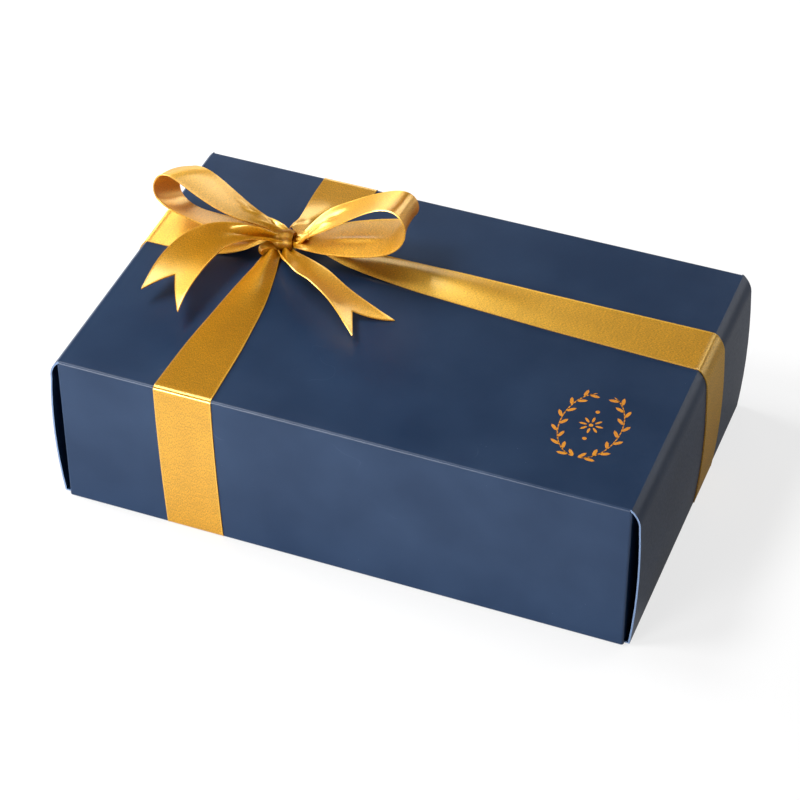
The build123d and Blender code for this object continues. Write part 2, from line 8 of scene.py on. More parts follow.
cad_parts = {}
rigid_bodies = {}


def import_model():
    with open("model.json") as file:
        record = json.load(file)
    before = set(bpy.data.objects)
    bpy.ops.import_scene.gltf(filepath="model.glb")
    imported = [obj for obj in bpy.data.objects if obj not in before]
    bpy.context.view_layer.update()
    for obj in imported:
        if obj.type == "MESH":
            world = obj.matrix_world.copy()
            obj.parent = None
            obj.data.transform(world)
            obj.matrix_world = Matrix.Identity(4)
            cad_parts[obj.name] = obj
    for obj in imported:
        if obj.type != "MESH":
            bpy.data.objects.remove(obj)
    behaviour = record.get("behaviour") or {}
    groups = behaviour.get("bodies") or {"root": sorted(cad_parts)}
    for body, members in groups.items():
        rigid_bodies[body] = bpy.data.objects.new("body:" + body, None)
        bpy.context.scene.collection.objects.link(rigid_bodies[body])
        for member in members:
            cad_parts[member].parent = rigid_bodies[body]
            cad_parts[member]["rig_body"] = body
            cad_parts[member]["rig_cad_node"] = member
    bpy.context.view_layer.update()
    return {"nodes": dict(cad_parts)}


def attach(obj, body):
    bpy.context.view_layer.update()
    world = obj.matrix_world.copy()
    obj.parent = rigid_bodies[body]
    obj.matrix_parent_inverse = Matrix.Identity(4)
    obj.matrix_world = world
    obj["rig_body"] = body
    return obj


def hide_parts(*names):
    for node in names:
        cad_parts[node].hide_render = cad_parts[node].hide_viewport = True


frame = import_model()
scene = bpy.context.scene
nodes = frame["nodes"]
mm = 0.001
origin = (0, 0, 0)
print("frame loaded")


# Small helpers

def deselectAll():
    if bpy.context.object and bpy.context.object.mode != "OBJECT":
        bpy.ops.object.mode_set(mode="OBJECT")
    bpy.ops.object.select_all(action="DESELECT")


def makeActive(piece):
    deselectAll()
    piece.select_set(True)
    bpy.context.view_layer.objects.active = piece


def applyModifier(piece, kind, **values):
    makeActive(piece)
    modifier = piece.modifiers.new(kind.title(), kind)
    for key, value in values.items():
        setattr(modifier, key, value)
    bpy.ops.object.modifier_apply(modifier=modifier.name)


def smoothByAngle(piece, degrees):
    makeActive(piece)
    bpy.ops.object.shade_smooth_by_angle(angle=math.radians(degrees))


def copyPiece(pattern, change=None):
    # a copy with its own mesh
    copy = pattern.copy()
    copy.data = pattern.data.copy()
    scene.collection.objects.link(copy)
    if change:
        copy.data.transform(change)
    return copy


def joinPieces(pieces, name):
    makeActive(pieces[0])
    for piece in pieces[1:]:
        piece.select_set(True)
    if len(pieces) > 1:
        bpy.ops.object.join()
    pieces[0].name = pieces[0].data.name = name
    return pieces[0]


def pieceFrom(mesh, name):
    data = bpy.data.meshes.new(name)
    mesh.to_mesh(data)
    mesh.free()
    piece = bpy.data.objects.new(name, data)
    scene.collection.objects.link(piece)
    return piece


def startEdit(piece):
    makeActive(piece)
    bpy.ops.object.mode_set(mode="EDIT")
    bpy.ops.mesh.select_all(action="SELECT")
    return bmesh.from_edit_mesh(piece.data)


def selectOnly(items, kind="VERT"):
    # the items are corners, edges or faces of the piece that is in edit mode
    bpy.ops.mesh.select_all(action="DESELECT")
    bpy.ops.mesh.select_mode(type=kind)
    for item in items:
        item.select = True
    data = bpy.context.object.data
    bmesh.from_edit_mesh(data).select_flush(True)
    bmesh.update_edit_mesh(data)


def turnOutwards():
    bpy.ops.mesh.select_all(action="SELECT")
    bpy.ops.mesh.normals_make_consistent(inside=False)
    bpy.ops.object.mode_set(mode="OBJECT")


def discard(piece):
    bpy.data.objects.remove(piece, do_unlink=True)


def paint(piece, material):
    piece.data.materials.clear()
    piece.data.materials.append(material)


def finishPiece(piece, body, slotName, material, *replaced):
    paint(piece, material)
    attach(piece, body)
    if replaced:
        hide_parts(*replaced)


def blendNumber(a, b, share):
    return a + (b - a) * share


def easeIn(share):
    share = min(max(share, 0), 1)
    return share * share * (3 - 2 * share)


def alongCurve(values, share):
    # an even curve that is drawn towards the values, which may be numbers or vectors
    spans = len(values) - 1
    i = min(int(share * spans), spans - 1)
    f = share * spans - i
    here, ahead = values[i], values[i + 1]
    before = values[i - 1] if i > 0 else here * 2 - ahead
    after = values[i + 2] if i + 2 <= spans else ahead * 2 - here
    g = 1 - f
    return (before * (g ** 3) + here * (3 * f ** 3 - 6 * f ** 2 + 4)
            + ahead * (3 * g ** 3 - 6 * g ** 2 + 4) + after * (f ** 3)) * (1 / 6)


# Shader building blocks

def newGroup(name, inputs, outputs):
    group = bpy.data.node_groups.new(name, "ShaderNodeTree")
    for way, sockets in (("INPUT", inputs), ("OUTPUT", outputs)):
        for socketName, kind, *value in sockets:
            socket = group.interface.new_socket(name=socketName, in_out=way, socket_type="NodeSocket" + kind)
            if value:
                socket.default_value = value[0]
    return group, group.nodes.new("NodeGroupInput"), group.nodes.new("NodeGroupOutput")


def feed(tree, node, values):
    # a value is set on its input, and another node's output is linked to it
    for key, value in values.items():
        if isinstance(value, bpy.types.NodeSocket):
            tree.links.new(value, node.inputs[key])
        else:
            node.inputs[key].default_value = value
    return node


def addNode(tree, kind, inputs=None, **settings):
    node = tree.nodes.new("ShaderNode" + kind)
    for key, value in settings.items():
        setattr(node, key, value)
    return feed(tree, node, inputs or {})


def placeGroup(tree, group, **values):
    return feed(tree, addNode(tree, "Group", node_tree=group), values)


def mathNode(tree, operation, *values):
    return addNode(tree, "Math", dict(enumerate(values)), operation=operation).outputs[0]


def plus(tree, first, second):
    return mathNode(tree, "ADD", first, second)


def times(tree, first, second):
    return mathNode(tree, "MULTIPLY", first, second)


def noiseNode(tree, place, scale, detail, bend=0.0):
    inputs = {"Vector": place, "Scale": scale, "Detail": detail, "Distortion": bend}
    return addNode(tree, "TexNoise", inputs).outputs["Fac"]


def cellNode(tree, place, scale):
    return addNode(tree, "TexVoronoi", {"Vector": place, "Scale": scale}).outputs["Distance"]


def bumpNode(tree, height, strength, depth, **settings):
    inputs = {"Height": height, "Strength": strength, "Distance": depth}
    return addNode(tree, "Bump", inputs, **settings).outputs["Normal"]


def mixColours(tree, share, first, second, blendType="MIX"):
    inputs = {0: share, 6: first, 7: second}
    return addNode(tree, "Mix", inputs, data_type="RGBA", blend_type=blendType).outputs[2]


def colour(red, green, blue):
    return (red, green, blue, 1)


def rampNode(tree, value, low, high, toLow=0.0, toHigh=1.0):
    node = addNode(tree, "MapRange", {"Value": value, "From Min": low, "From Max": high,
                                      "To Min": toLow, "To Max": toHigh})
    return node.outputs[0]


def newMaterial(name, **principled):
    material = bpy.data.materials.new(name)
    material.use_nodes = True
    tree = material.node_tree
    shader = tree.nodes["Principled BSDF"]
    return material, tree, feed(tree, shader, principled)


# The span that holds nearly all of a noise's values, and the one of its lighter clouds
noiseSpan = (0.3, 0.7)
cloudSpan = (0.35, 0.7)

# Laminated board: faint fibre, rub marks and dust on a coated sheet
boardCoat = {
    "fibreScale": 900, "mottleScale": 26, "rubScale": 38, "rubBend": 0.6, "dustScale": 260, "bump": 0.3,
    "depth": 0.00004, "mottleHeight": 1.5, "speckSize": (0.035, 0.055), "speckWhere": (0.56, 0.6),
    "rubWidth": 0.0035, "rubWhere": (0.60, 0.66), "rubShare": 0.25, "speckShare": 0.5,
    "mottleShare": 0.12, "spread": (-0.03, 0.04),
    "mottle": colour(0.05, 0.09, 0.17), "rub": colour(0.25, 0.3, 0.4), "speck": colour(0.4, 0.45, 0.55),
}


def makeBoardCoatGroup():
    group, source, result = newGroup(
        "coatedBoard",
        [("Position", "Vector"), ("Base", "Color", colour(0.01, 0.03, 0.08)),
         ("Wear", "Float", 0.5), ("Roughness", "Float", 0.4)],
        [("Colour", "Color"), ("Roughness", "Float"), ("Normal", "Vector")])
    position, wear = source.outputs["Position"], source.outputs["Wear"]
    look = boardCoat
    fibre = noiseNode(group, position, look["fibreScale"], 3)
    mottle = noiseNode(group, position, look["mottleScale"], 4)
    dust = cellNode(group, position, look["dustScale"])
    speck = rampNode(group, dust, *look["speckSize"], 1, 0)
    speck = times(group, times(group, speck, rampNode(group, mottle, *look["speckWhere"])), wear)
    # rub marks are thin bent lines where a slow noise crosses its middle value
    bent = noiseNode(group, position, look["rubScale"], 1, look["rubBend"])
    line = mathNode(group, "ABSOLUTE", mathNode(group, "SUBTRACT", bent, 0.5))
    rub = rampNode(group, line, 0.0, look["rubWidth"], 1, 0)
    rub = times(group, times(group, rub, rampNode(group, mottle, *look["rubWhere"])), wear)
    cloud = rampNode(group, mottle, *cloudSpan, 0.0, look["mottleShare"])
    tint = mixColours(group, cloud, source.outputs["Base"], look["mottle"])
    tint = mixColours(group, times(group, rub, look["rubShare"]), tint, look["rub"])
    tint = mixColours(group, times(group, speck, look["speckShare"]), tint, look["speck"])
    rough = plus(group, source.outputs["Roughness"], rampNode(group, fibre, *noiseSpan, *look["spread"]))
    height = plus(group, fibre, times(group, mottle, look["mottleHeight"]))
    bump = bumpNode(group, height, look["bump"], look["depth"])
    feed(group, result, {"Colour": tint, "Roughness": rough, "Normal": bump})
    return group


def dress(tree, shader, group):
    # a shader that takes its colour, roughness and normal from a group
    feed(tree, shader, {"Base Color": group.outputs["Colour"], "Roughness": group.outputs["Roughness"],
                        "Normal": group.outputs["Normal"]})


boardCoatGroup = makeBoardCoatGroup()
navy = {"base": colour(0.0036, 0.0155, 0.044), "roughness": 0.37, "wear": 0.3, "specular": 0.27}
cutEdge = {"base": colour(0.10, 0.15, 0.25), "roughness": 0.75, "wear": 0.2, "specular": 0.3}


def makeBoard(name, look):
    material, tree, shader = newMaterial(name, **{"Specular IOR Level": look["specular"]})
    coat = placeGroup(tree, boardCoatGroup, Position=addNode(tree, "TexCoord").outputs["Object"],
                      Base=look["base"], Wear=look["wear"], Roughness=look["roughness"])
    dress(tree, shader, coat)
    return material


navyBoard = makeBoard("navyBoard", navy)
rawEdge = makeBoard("rawBoardEdge", cutEdge)

# Satin ribbon: warp threads lie along it, so light spreads across it; the selvedge is a picot-edged rim,
# painted lighter than the cloth as a highlight along the edge
satin = {
    "deep": colour(0.46, 0.195, 0.001), "bright": colour(0.80, 0.385, 0.004),
    # rim: the selvedge's colour, painted lighter as a highlight along the ribbon's edge
    "rim": colour(0.98, 0.56, 0.08), "threads": 120, "picks": 46, "spread": (0.37, 0.51),
    "sheen": colour(1.0, 0.64, 0.07), "sheenShare": 0.42,
    "rimWidth": 0.028, "rimFull": 0.0168, "rimDull": 0.1, "picotLow": 0.55, "fleckSpan": (0.37, 0.63),
    "cloudSpread": (0.75, 1.1), "sheenLow": 0.45, "anisotropic": 0.9,
    "through": colour(1.0, 0.50, 0.006), "throughShare": 0.42,
    "gleam": colour(1.0, 0.84, 0.56), "gleamShare": 0.1, "gleamRoughness": 0.30, "specular": 0.2,
    "fleckScale": 0.62, "grainScale": 0.9, "cloudScale": 3.0, "picots": 160, "rimGlintShare": 0.8,
    "grainHeight": 0.7, "rimHeight": 1.2, "depth": 0.0001, "dyedBump": 0.4, "sheenBump": 0.08,
}
# pulled tight in the knot, the threads lose their order and most of their lustre; the dye is also painted
# darker here, as shade in the knot
crushed = dict(satin, deep=colour(0.14, 0.057, 0.001), bright=colour(0.25, 0.112, 0.002),
               sheenShare=0.1, gleamShare=0.0)


def makeSatinGroup():
    group, source, result = newGroup(
        "satinWeave",
        [("Weave", "Vector"), ("Deep", "Color", satin["deep"]),
         ("Bright", "Color", satin["bright"]), ("Rim", "Color", satin["rim"]),
         ("Sheen", "Color", satin["sheen"])],
        [("Colour", "Color"), ("Lustre", "Color"), ("Roughness", "Float"),
         ("Normal", "Vector"), ("Sleek", "Vector")])
    weave = source.outputs["Weave"]
    threads = (satin["threads"], satin["picks"], 1)
    stretch = addNode(group, "Mapping", {"Vector": weave, "Scale": threads}).outputs[0]
    fleck = noiseNode(group, stretch, satin["fleckScale"], 1)
    grain = cellNode(group, stretch, satin["grainScale"])
    cloud = noiseNode(group, weave, satin["cloudScale"], 2)
    parts = addNode(group, "SeparateXYZ", {"Vector": weave})
    fromMiddle = mathNode(group, "ABSOLUTE", mathNode(group, "SUBTRACT", parts.outputs["X"], 0.5))
    rim = rampNode(group, fromMiddle, 0.5 - satin["rimWidth"], 0.5 - satin["rimFull"])
    picot = mathNode(group, "SINE", times(group, parts.outputs["Y"], satin["picots"]))
    picot = rampNode(group, picot, -1, 1, satin["picotLow"], 1)
    share = rampNode(group, fleck, *satin["fleckSpan"])
    share = times(group, share, rampNode(group, cloud, *noiseSpan, *satin["cloudSpread"]))
    tint = mixColours(group, share, source.outputs["Deep"], source.outputs["Bright"])
    # the picot-edged rim is painted lighter: partly the selvedge's picots, partly a painted highlight along
    # the edge
    cordedGlint = times(group, rim, times(group, picot, satin["rimGlintShare"]))
    tint = mixColours(group, cordedGlint, tint, source.outputs["Rim"])
    rough = plus(group, rampNode(group, grain, 0, 1, *satin["spread"]), times(group, rim, satin["rimDull"]))
    height = plus(group, fleck, times(group, grain, satin["grainHeight"]))
    height = plus(group, height, times(group, times(group, rim, picot), satin["rimHeight"]))
    depth = rampNode(group, share, 0, 1, satin["sheenLow"], 1)
    lustre = mixColours(group, 1.0, source.outputs["Sheen"], depth, "MULTIPLY")
    feed(group, result, {"Colour": tint, "Lustre": lustre, "Roughness": rough})
    for name, strength in (("Normal", satin["dyedBump"]), ("Sleek", satin["sheenBump"])):
        feed(group, result, {name: bumpNode(group, height, strength, satin["depth"])})
    return group


def makeSatin(name, look):
    # dyed cloth, with the lustre of its long warp threads over it
    material, tree, dyed = newMaterial(name, **{"Specular IOR Level": look["specular"]})
    weave = addNode(tree, "UVMap", uv_map="weave").outputs["UV"]
    cloth = placeGroup(tree, satinGroup, Weave=weave, Deep=look["deep"], Bright=look["bright"],
                       Rim=look["rim"], Sheen=look["sheen"])
    dress(tree, dyed, cloth)
    shiny = {"Metallic": 1.0, "Anisotropic": look["anisotropic"], "Normal": cloth.outputs["Sleek"],
             "Tangent": addNode(tree, "Tangent", direction_type="UV_MAP", uv_map="weave").outputs[0]}
    lustre = addNode(tree, "BsdfPrincipled", dict(shiny, **{"Base Color": cloth.outputs["Lustre"],
                                                            "Roughness": cloth.outputs["Roughness"]}))
    # the brightest glints lose the dye's colour
    gleam = addNode(tree, "BsdfPrincipled", dict(shiny, **{"Base Color": look["gleam"],
                                                           "Roughness": look["gleamRoughness"]}))
    # thin cloth: some of the light behind it comes through
    through = addNode(tree, "BsdfTranslucent", {"Color": look["through"]})
    mixed = dyed
    for name, other in (("through", through), ("sheen", lustre), ("gleam", gleam)):
        inputs = {0: look[name + "Share"], 1: mixed.outputs[0], 2: other.outputs[0]}
        mixed = addNode(tree, "MixShader", inputs)
    feed(tree, tree.nodes["Material Output"], {"Surface": mixed.outputs[0]})
    return material


satinGroup = makeSatinGroup()
goldSatin = makeSatin("goldSatin", satin)
shadedCrushedSatin = makeSatin("shadedCrushedSatin", crushed)
print("materials made")

# Lid: a merged copy of the folded blank, so that its bowed walls shade smoothly
lid = {"cutEdgeY": 77.7, "cutEdgeReach": 0.06, "smoothAngle": 24, "weld": 0.000002}


def mergedCopy(nodeName, pieceName, angle):
    piece = copyPiece(nodes[nodeName])
    piece.name = piece.data.name = pieceName
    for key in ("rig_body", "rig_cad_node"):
        if key in piece:
            del piece[key]
    piece.parent = None
    startEdit(piece)
    bpy.ops.mesh.remove_doubles(threshold=lid["weld"])
    bpy.ops.object.mode_set(mode="OBJECT")
    bpy.ops.mesh.customdata_custom_splitnormals_clear()
    smoothByAngle(piece, angle)
    return piece


lidShell = mergedCopy("lid_board", "lidShell", lid["smoothAngle"])
finishPiece(lidShell, "lid", "navy_board", navyBoard, "lid_board")
lidShell.data.materials.append(rawEdge)
for face in lidShell.data.polygons:
    fromCut = abs(abs(face.center.y) / mm - lid["cutEdgeY"])
    if fromCut < lid["cutEdgeReach"] and abs(face.normal.y) > 0.9:
        face.material_index = 1
trayShell = mergedCopy("tray_board", "trayShell", lid["smoothAngle"])
finishPiece(trayShell, "tray", "navy_board", navyBoard, "tray_board")
print("lid and tray dressed")

# Ribbon: every stretch is a grid of woven cloth that runs between a front and a back edge line
ribbon = {
    "width": 25.0, "thickness": 0.3, "across": 32, "rimWeight": 0.55, "lift": 0.22, "driftPower": 1.7,
    "smoothAngle": 50, "mitre": 0.5,
}
knot = {"x": -62.0, "y": 24.0, "top": 74.0}


def gatherHeight(width, folds):
    # crushed to a narrower width, the cloth stands up in folds and keeps its own width
    return math.sqrt(max(ribbon["width"] ** 2 - width ** 2, 0)) / (4 * folds)


def weaveStrip(name, surface, length, steps, cut=0.0):
    # surface(along, across) gives a point in millimetres; along is the distance, across goes from 0 to 1
    across = ribbon["across"]
    mesh = bmesh.new()
    weave = mesh.loops.layers.uv.new("weave")
    grid = []
    places = []
    for i in range(steps + 1):
        line, place = [], []
        for j in range(across + 1):
            u = j / across
            reach = length - cut * (1 - abs(2 * u - 1))
            along = reach * i / steps
            line.append(mesh.verts.new(surface(along, u) * mm))
            place.append((u, along / ribbon["width"]))
        grid.append(line)
        places.append(place)
    for i in range(steps):
        for j in range(across):
            corners = ((i, j), (i + 1, j), (i + 1, j + 1), (i, j + 1))
            face = mesh.faces.new([grid[a][b] for a, b in corners])
            for loop, (a, b) in zip(face.loops, corners):
                loop[weave].uv = places[a][b]
    piece = pieceFrom(mesh, name)
    rim = piece.vertex_groups.new(name="rim")
    for i in range(steps + 1):
        for j in range(across + 1):
            atRim = j in (0, across) or (cut > 0 and i == steps)
            rim.add([i * (across + 1) + j], 1.0 if atRim else 0.0, "ADD")
    applyModifier(piece, "SOLIDIFY", thickness=ribbon["thickness"] * mm / ribbon["rimWeight"], offset=0,
                  vertex_group="rim", thickness_vertex_group=ribbon["rimWeight"], use_even_offset=False)
    smoothByAngle(piece, ribbon["smoothAngle"])
    return piece


def measured(rows, samples=240):
    # the length of the middle line, and the share of the rows at each distance along it
    marks = [(0.0, 0.0)]
    last = None
    for k in range(samples + 1):
        share = k / samples
        middle = (alongCurve([r[0] for r in rows], share) + alongCurve([r[1] for r in rows], share)) / 2
        if last is not None:
            marks.append((marks[-1][0] + (middle - last).length, share))
        last = middle
    return marks


def shareAt(marks, along):
    low, high = 0, len(marks) - 1
    while high - low > 1:
        middle = (low + high) // 2
        if marks[middle][0] <= along:
            low = middle
        else:
            high = middle
    (a, first), (b, second) = marks[low], marks[high]
    return blendNumber(first, second, (along - a) / max(b - a, 1e-9))


def creaseLift(creases, along, u):
    # each crease is (start, end, where across, how wide, how high)
    lift = 0
    for start, end, middle, spread, height in creases:
        if start < along < end:
            swell = math.sin(math.pi * (along - start) / (end - start)) ** 2
            lift += height * swell * math.exp(-((u - middle) / spread) ** 2)
    return lift


bowEdge = {"flat": 0.15, "step": 0.02, "atKnot": 2.0}


def bowSurface(shape):
    # rows of edge points in millimetres from the knot's foot, front edge then back edge
    foot = Vector((knot["x"], knot["y"], knot["top"]))
    fronts = [foot + Vector(row[:3]) for row in shape["rows"]]
    backs = [foot + Vector(row[3:]) for row in shape["rows"]]
    marks = measured(list(zip(fronts, backs)))
    length = marks[-1][0]

    def middleAt(share):
        share = min(max(share, 0), 1)
        return (alongCurve(fronts, share) + alongCurve(backs, share)) / 2

    def surface(along, u):
        share = shareAt(marks, min(max(along, 0), length))
        front, back = alongCurve(fronts, share), alongCurve(backs, share)
        way = middleAt(share + bowEdge["step"]) - middleAt(share - bowEdge["step"])
        side = back - front
        normal = side.cross(way).normalized()
        fromKnot = min(along, length - along) if shape["closed"] else along
        near = 1 - easeIn((fromKnot - bowEdge["atKnot"]) / shape["gatherReach"])
        height = gatherHeight(side.length, shape["folds"]) * shape["fullness"] * near
        lift = shape["curl"] * math.sin(math.pi * u) + creaseLift(shape["creases"], along, u)
        folded = math.sin(math.tau * shape["folds"] * u + shape["phase"])
        lift += height * folded * easeIn(min(u, 1 - u) / bowEdge["flat"])
        return front + side * u + normal * lift

    return surface, length


bowRightLoop = {
    "curl": 1.0, "folds": 1.5, "fullness": 0.5, "phase": 0.6, "steps": 170,
    "closed": True, "gatherReach": 14,
    "creases": [(3, 17, 0.35, 0.10, 1.3), (7, 24, 0.66, 0.09, 1.5), (14, 32, 0.42, 0.09, -1.1),
                (18, 36, 0.72, 0.08, 0.9), (88, 122, 0.42, 0.05, 0.9)],
    "rows": [
        (-2, -2.5, 5, -2, 2, 6),
        (3, -3, 7, 3, 3, 7.5),
        (9, -7, 15, 7, 7.5, 12.5),
        (17, -10.5, 22, 12.5, 11, 18.5),
        (28, -12, 31.5, 21, 12, 23.5),
        (38, -12, 39.5, 32, 12, 30.5),
        (47, -12, 44.5, 43, 12, 36),
        (53.5, -12, 43.5, 50, 12, 37),
        (57, -12, 38, 54, 12, 32.5),
        (57, -12, 30, 53.5, 12, 26),
        (52, -12, 22.5, 48.5, 12, 22),
        (44, -12, 18, 40.5, 12, 20),
        (32, -12, 14.5, 30, 12, 16.5),
        (20, -11, 12, 19.5, 11, 13),
        (10, -7.5, 8.5, 9, 7.5, 8),
        (-1, -2.5, 4.5, -1, 2.5, 4.5),
    ],
}
bowLeftLoop = {
    "curl": 1.2, "folds": 1.5, "fullness": 0.5, "phase": 0.0, "steps": 170,
    "closed": True, "gatherReach": 16,
    "creases": [(4, 24, 0.55, 0.1, 1.3), (8, 30, 0.8, 0.07, -1.0)],
    "rows": [
        (-3, -1, 7, -3, 3, 7),
        (-12, -1, 11, -12, 7.5, 8),
        (-19, -5, 14.5, -18.5, 9, 9.5),
        (-27, -8.5, 19, -25, 10.5, 12),
        (-36, -10, 24.5, -32, 12.5, 15),
        (-45, -10, 30, -39, 13, 20),
        (-52, -10, 34.5, -46, 13, 24),
        (-56.5, -10, 33.5, -52.5, 13, 23.5),
        (-59.5, -10, 28.5, -57, 13, 19),
        (-60, -10, 23.5, -59.5, 13, 12.5),
        (-58, -10, 18.5, -58.5, 12.5, 7),
        (-52.5, -10, 15.5, -54, 11.5, 3.5),
        (-44, -10, 13, -46.5, 10.5, 2),
        (-34.5, -9.5, 10.5, -36.5, 10, 2.5),
        (-24, -8, 7.5, -24.5, 8.5, 3),
        (-13, -2.5, 5, -13.5, 7, 3),
        (-4, -1.5, 4, -4, 3, 4),
    ],
}
bowLeftTail = {
    "curl": -1.2, "folds": 1.5, "fullness": 0.6, "phase": 0.4, "steps": 120, "cut": 15.0,
    "closed": False, "gatherReach": 24,
    "creases": [(5, 27, 0.74, 0.13, 2.4), (2, 30, 0.45, 0.16, -1.0)],
    "rows": [
        (-1.5, -3.5, 6, -1.5, -0.5, 7),
        (-5.5, -6, 8, -5.5, -2.5, 9.5),
        (-12.5, -10, 11, -13.5, -4.5, 13.5),
        (-18.5, -16.5, 12.5, -24.5, -8, 15.5),
        (-21, -23.5, 14, -33, -13.5, 16.5),
        (-22, -34.5, 15, -39, -20, 15.5),
        (-23.3, -45, 14.5, -43.1, -30.5, 14.5),
        (-24.4, -56.1, 12, -45.3, -43.2, 12),
        (-24, -64.6, 9, -45.2, -55.3, 8),
    ],
}
bowRightTail = {
    "curl": 2.0, "folds": 1.0, "fullness": 0.45, "phase": 1.2, "steps": 120, "cut": 13.0,
    "closed": False, "gatherReach": 14,
    "creases": [(3, 24, 0.2, 0.12, 1.0)],
    "rows": [
        (-5.5, -3.5, 3, -2, 0, 4),
        (-2, -10.5, 7, 2.5, -5.5, 5.5),
        (8.5, -22, 11, 14, -9.5, 6),
        (13.5, -26.5, 12, 22, -12, 5),
        (19, -28.5, 12.5, 28, -15.5, 4),
        (25, -33, 13, 36, -20, 3.2),
        (31.5, -37, 12.5, 42.5, -22.5, 2.5),
        (39, -42.5, 10, 51, -26, 1.6),
        (47.5, -48.5, 5, 58.5, -28.5, 0.8),
    ],
}


def makeBowStretch(name, shape, nodeName):
    surface, length = bowSurface(shape)
    cut = shape.get("cut", 0.0)
    piece = weaveStrip(name, surface, length, shape["steps"], cut)
    finishPiece(piece, "lid", "gold_satin", goldSatin, nodeName)
    print(name, "made,", round(length), "mm long")


makeBowStretch("bowRightLoop", bowRightLoop, "bow_right_loop")
makeBowStretch("bowLeftLoop", bowLeftLoop, "bow_left_loop")
makeBowStretch("bowLeftTail", bowLeftTail, "bow_left_tail")
makeBowStretch("bowRightTail", bowRightTail, "bow_right_tail")

# Knot: the ribbon goes round its own roots in a wrap and a low hitch, its sides tucked in under it
ring = {"swayRate": 1.5, "pinchPower": 2.5, "tuckRate": 4}
# The share tuck at each side goes under the rest, and reaches back by the share underReach of wide
wrap = {
    "place": (-65.0, 22.9, 80.1), "axis": (1.0, 0.10, 0.05), "deep": 4.6, "high": 4.9, "wide": 8.6,
    "from": -125, "turn": 345, "steps": 90,
    "tuck": 0.28, "pleats": 1.3, "pleatHeight": 0.4, "phase": 0.6, "sway": 0.8, "pinch": 0.14,
    "nearDepth": 0.8, "farDepth": 1.5, "underReach": 0.85, "underHeight": 1.1,
}
hitch = {
    "place": (-70.4, 18.4, 77.6), "axis": (0.42, -0.88, 0.05), "deep": 4.4, "high": 3.1, "wide": 7.0,
    "from": -20, "turn": 225, "steps": 70,
    "tuck": 0.28, "pleats": 1.6, "pleatHeight": 0.4, "phase": 2.2, "sway": 0.8, "pinch": 0.16,
    "nearDepth": 0.7, "farDepth": 1.3, "underReach": 0.85, "underHeight": 1.1,
}


def ringSurface(shape):
    centre = Vector(shape["place"])
    axis = Vector(shape["axis"]).normalized()
    outward = Vector((-axis.y, axis.x, 0)).normalized()
    upward = axis.cross(outward).normalized()
    length = math.radians(shape["turn"]) * (shape["deep"] + shape["high"]) / 2

    def surface(along, u):
        angle = math.radians(shape["from"] + shape["turn"] * along / length)
        # the middle of the ribbon shows, and a tuck at each side goes back under it
        tuck = shape["tuck"]
        share = min(max((u - tuck) / (1 - 2 * tuck), 0), 1)
        under = max(tuck - u, u - 1 + tuck, 0) / tuck
        inward = 1 if u < 0.5 else -1
        sideways = shape["wide"] * (share - 0.5 + inward * shape["underReach"] * under)
        size = 1 - shape["pinch"] * abs(2 * share - 1) ** ring["pinchPower"]
        wave = math.tau * shape["pleats"] * share + shape["sway"] * math.sin(angle * ring["swayRate"])
        lift = shape["pleatHeight"] * math.sin(wave + shape["phase"]) * math.sin(math.pi * share)
        lift -= shape["nearDepth" if u < 0.5 else "farDepth"] * easeIn(under * ring["tuckRate"])
        lift -= shape["underHeight"] * math.sin(math.tau * under) ** 2
        return (centre + axis * sideways + outward * math.cos(angle) * (shape["deep"] * size + lift)
                + upward * math.sin(angle) * (shape["high"] * size + lift))

    return surface, length


def makeKnot():
    parts = []
    for name, shape in (("bowKnot", wrap), ("bowHitch", hitch)):
        surface, reach = ringSurface(shape)
        parts.append(weaveStrip(name, surface, reach, shape["steps"]))
    piece = joinPieces(parts, "bowKnot")
    # the knot wears a copy of the satin painted darker, as shade
    finishPiece(piece, "lid", "gold_satin", shadedCrushedSatin, "bow_knot")


makeKnot()

# Bands: each runs from the knot over the lid, down its wall and in under the rim
lidSection = {
    "halfWidth": 78.0, "rim": 0.6, "board": 0.7, "crease": 1.1, "flare": 1.4, "turnIn": 14.0,
    "insideEnd": 122.7, "creaseSteps": 6, "bendSteps": 10, "bowSteps": 14,
    "rightWall": [(123.8, 74.0), (126.04, 71.42), (127.9, 64.8), (128.66, 35.3), (126.5, 0.6)],
    "leftWall": [(123.8, 74.0), (126.04, 71.42), (127.9, 64.8), (129.5, 35.3), (127.3, 0.6)],
}


def arcPoints(first, middle, last, count):
    # points of the circle through three places in a plane, without the first one
    (ax, ay), (bx, by), (cx, cy) = first, middle, last
    a, b, c = (x * x + y * y for x, y in (first, middle, last))
    d = 2 * (ax * (by - cy) + bx * (cy - ay) + cx * (ay - by))
    centreX = (a * (by - cy) + b * (cy - ay) + c * (ay - by)) / d
    centreY = (a * (cx - bx) + b * (ax - cx) + c * (bx - ax)) / d
    radius = math.hypot(ax - centreX, ay - centreY)
    start = math.atan2(ay - centreY, ax - centreX)
    turn = (math.atan2(cy - centreY, cx - centreX) - start + math.pi) % math.tau - math.pi
    angles = [start + turn * k / count for k in range(1, count + 1)]
    return [(centreX + radius * math.cos(angle), centreY + radius * math.sin(angle)) for angle in angles]


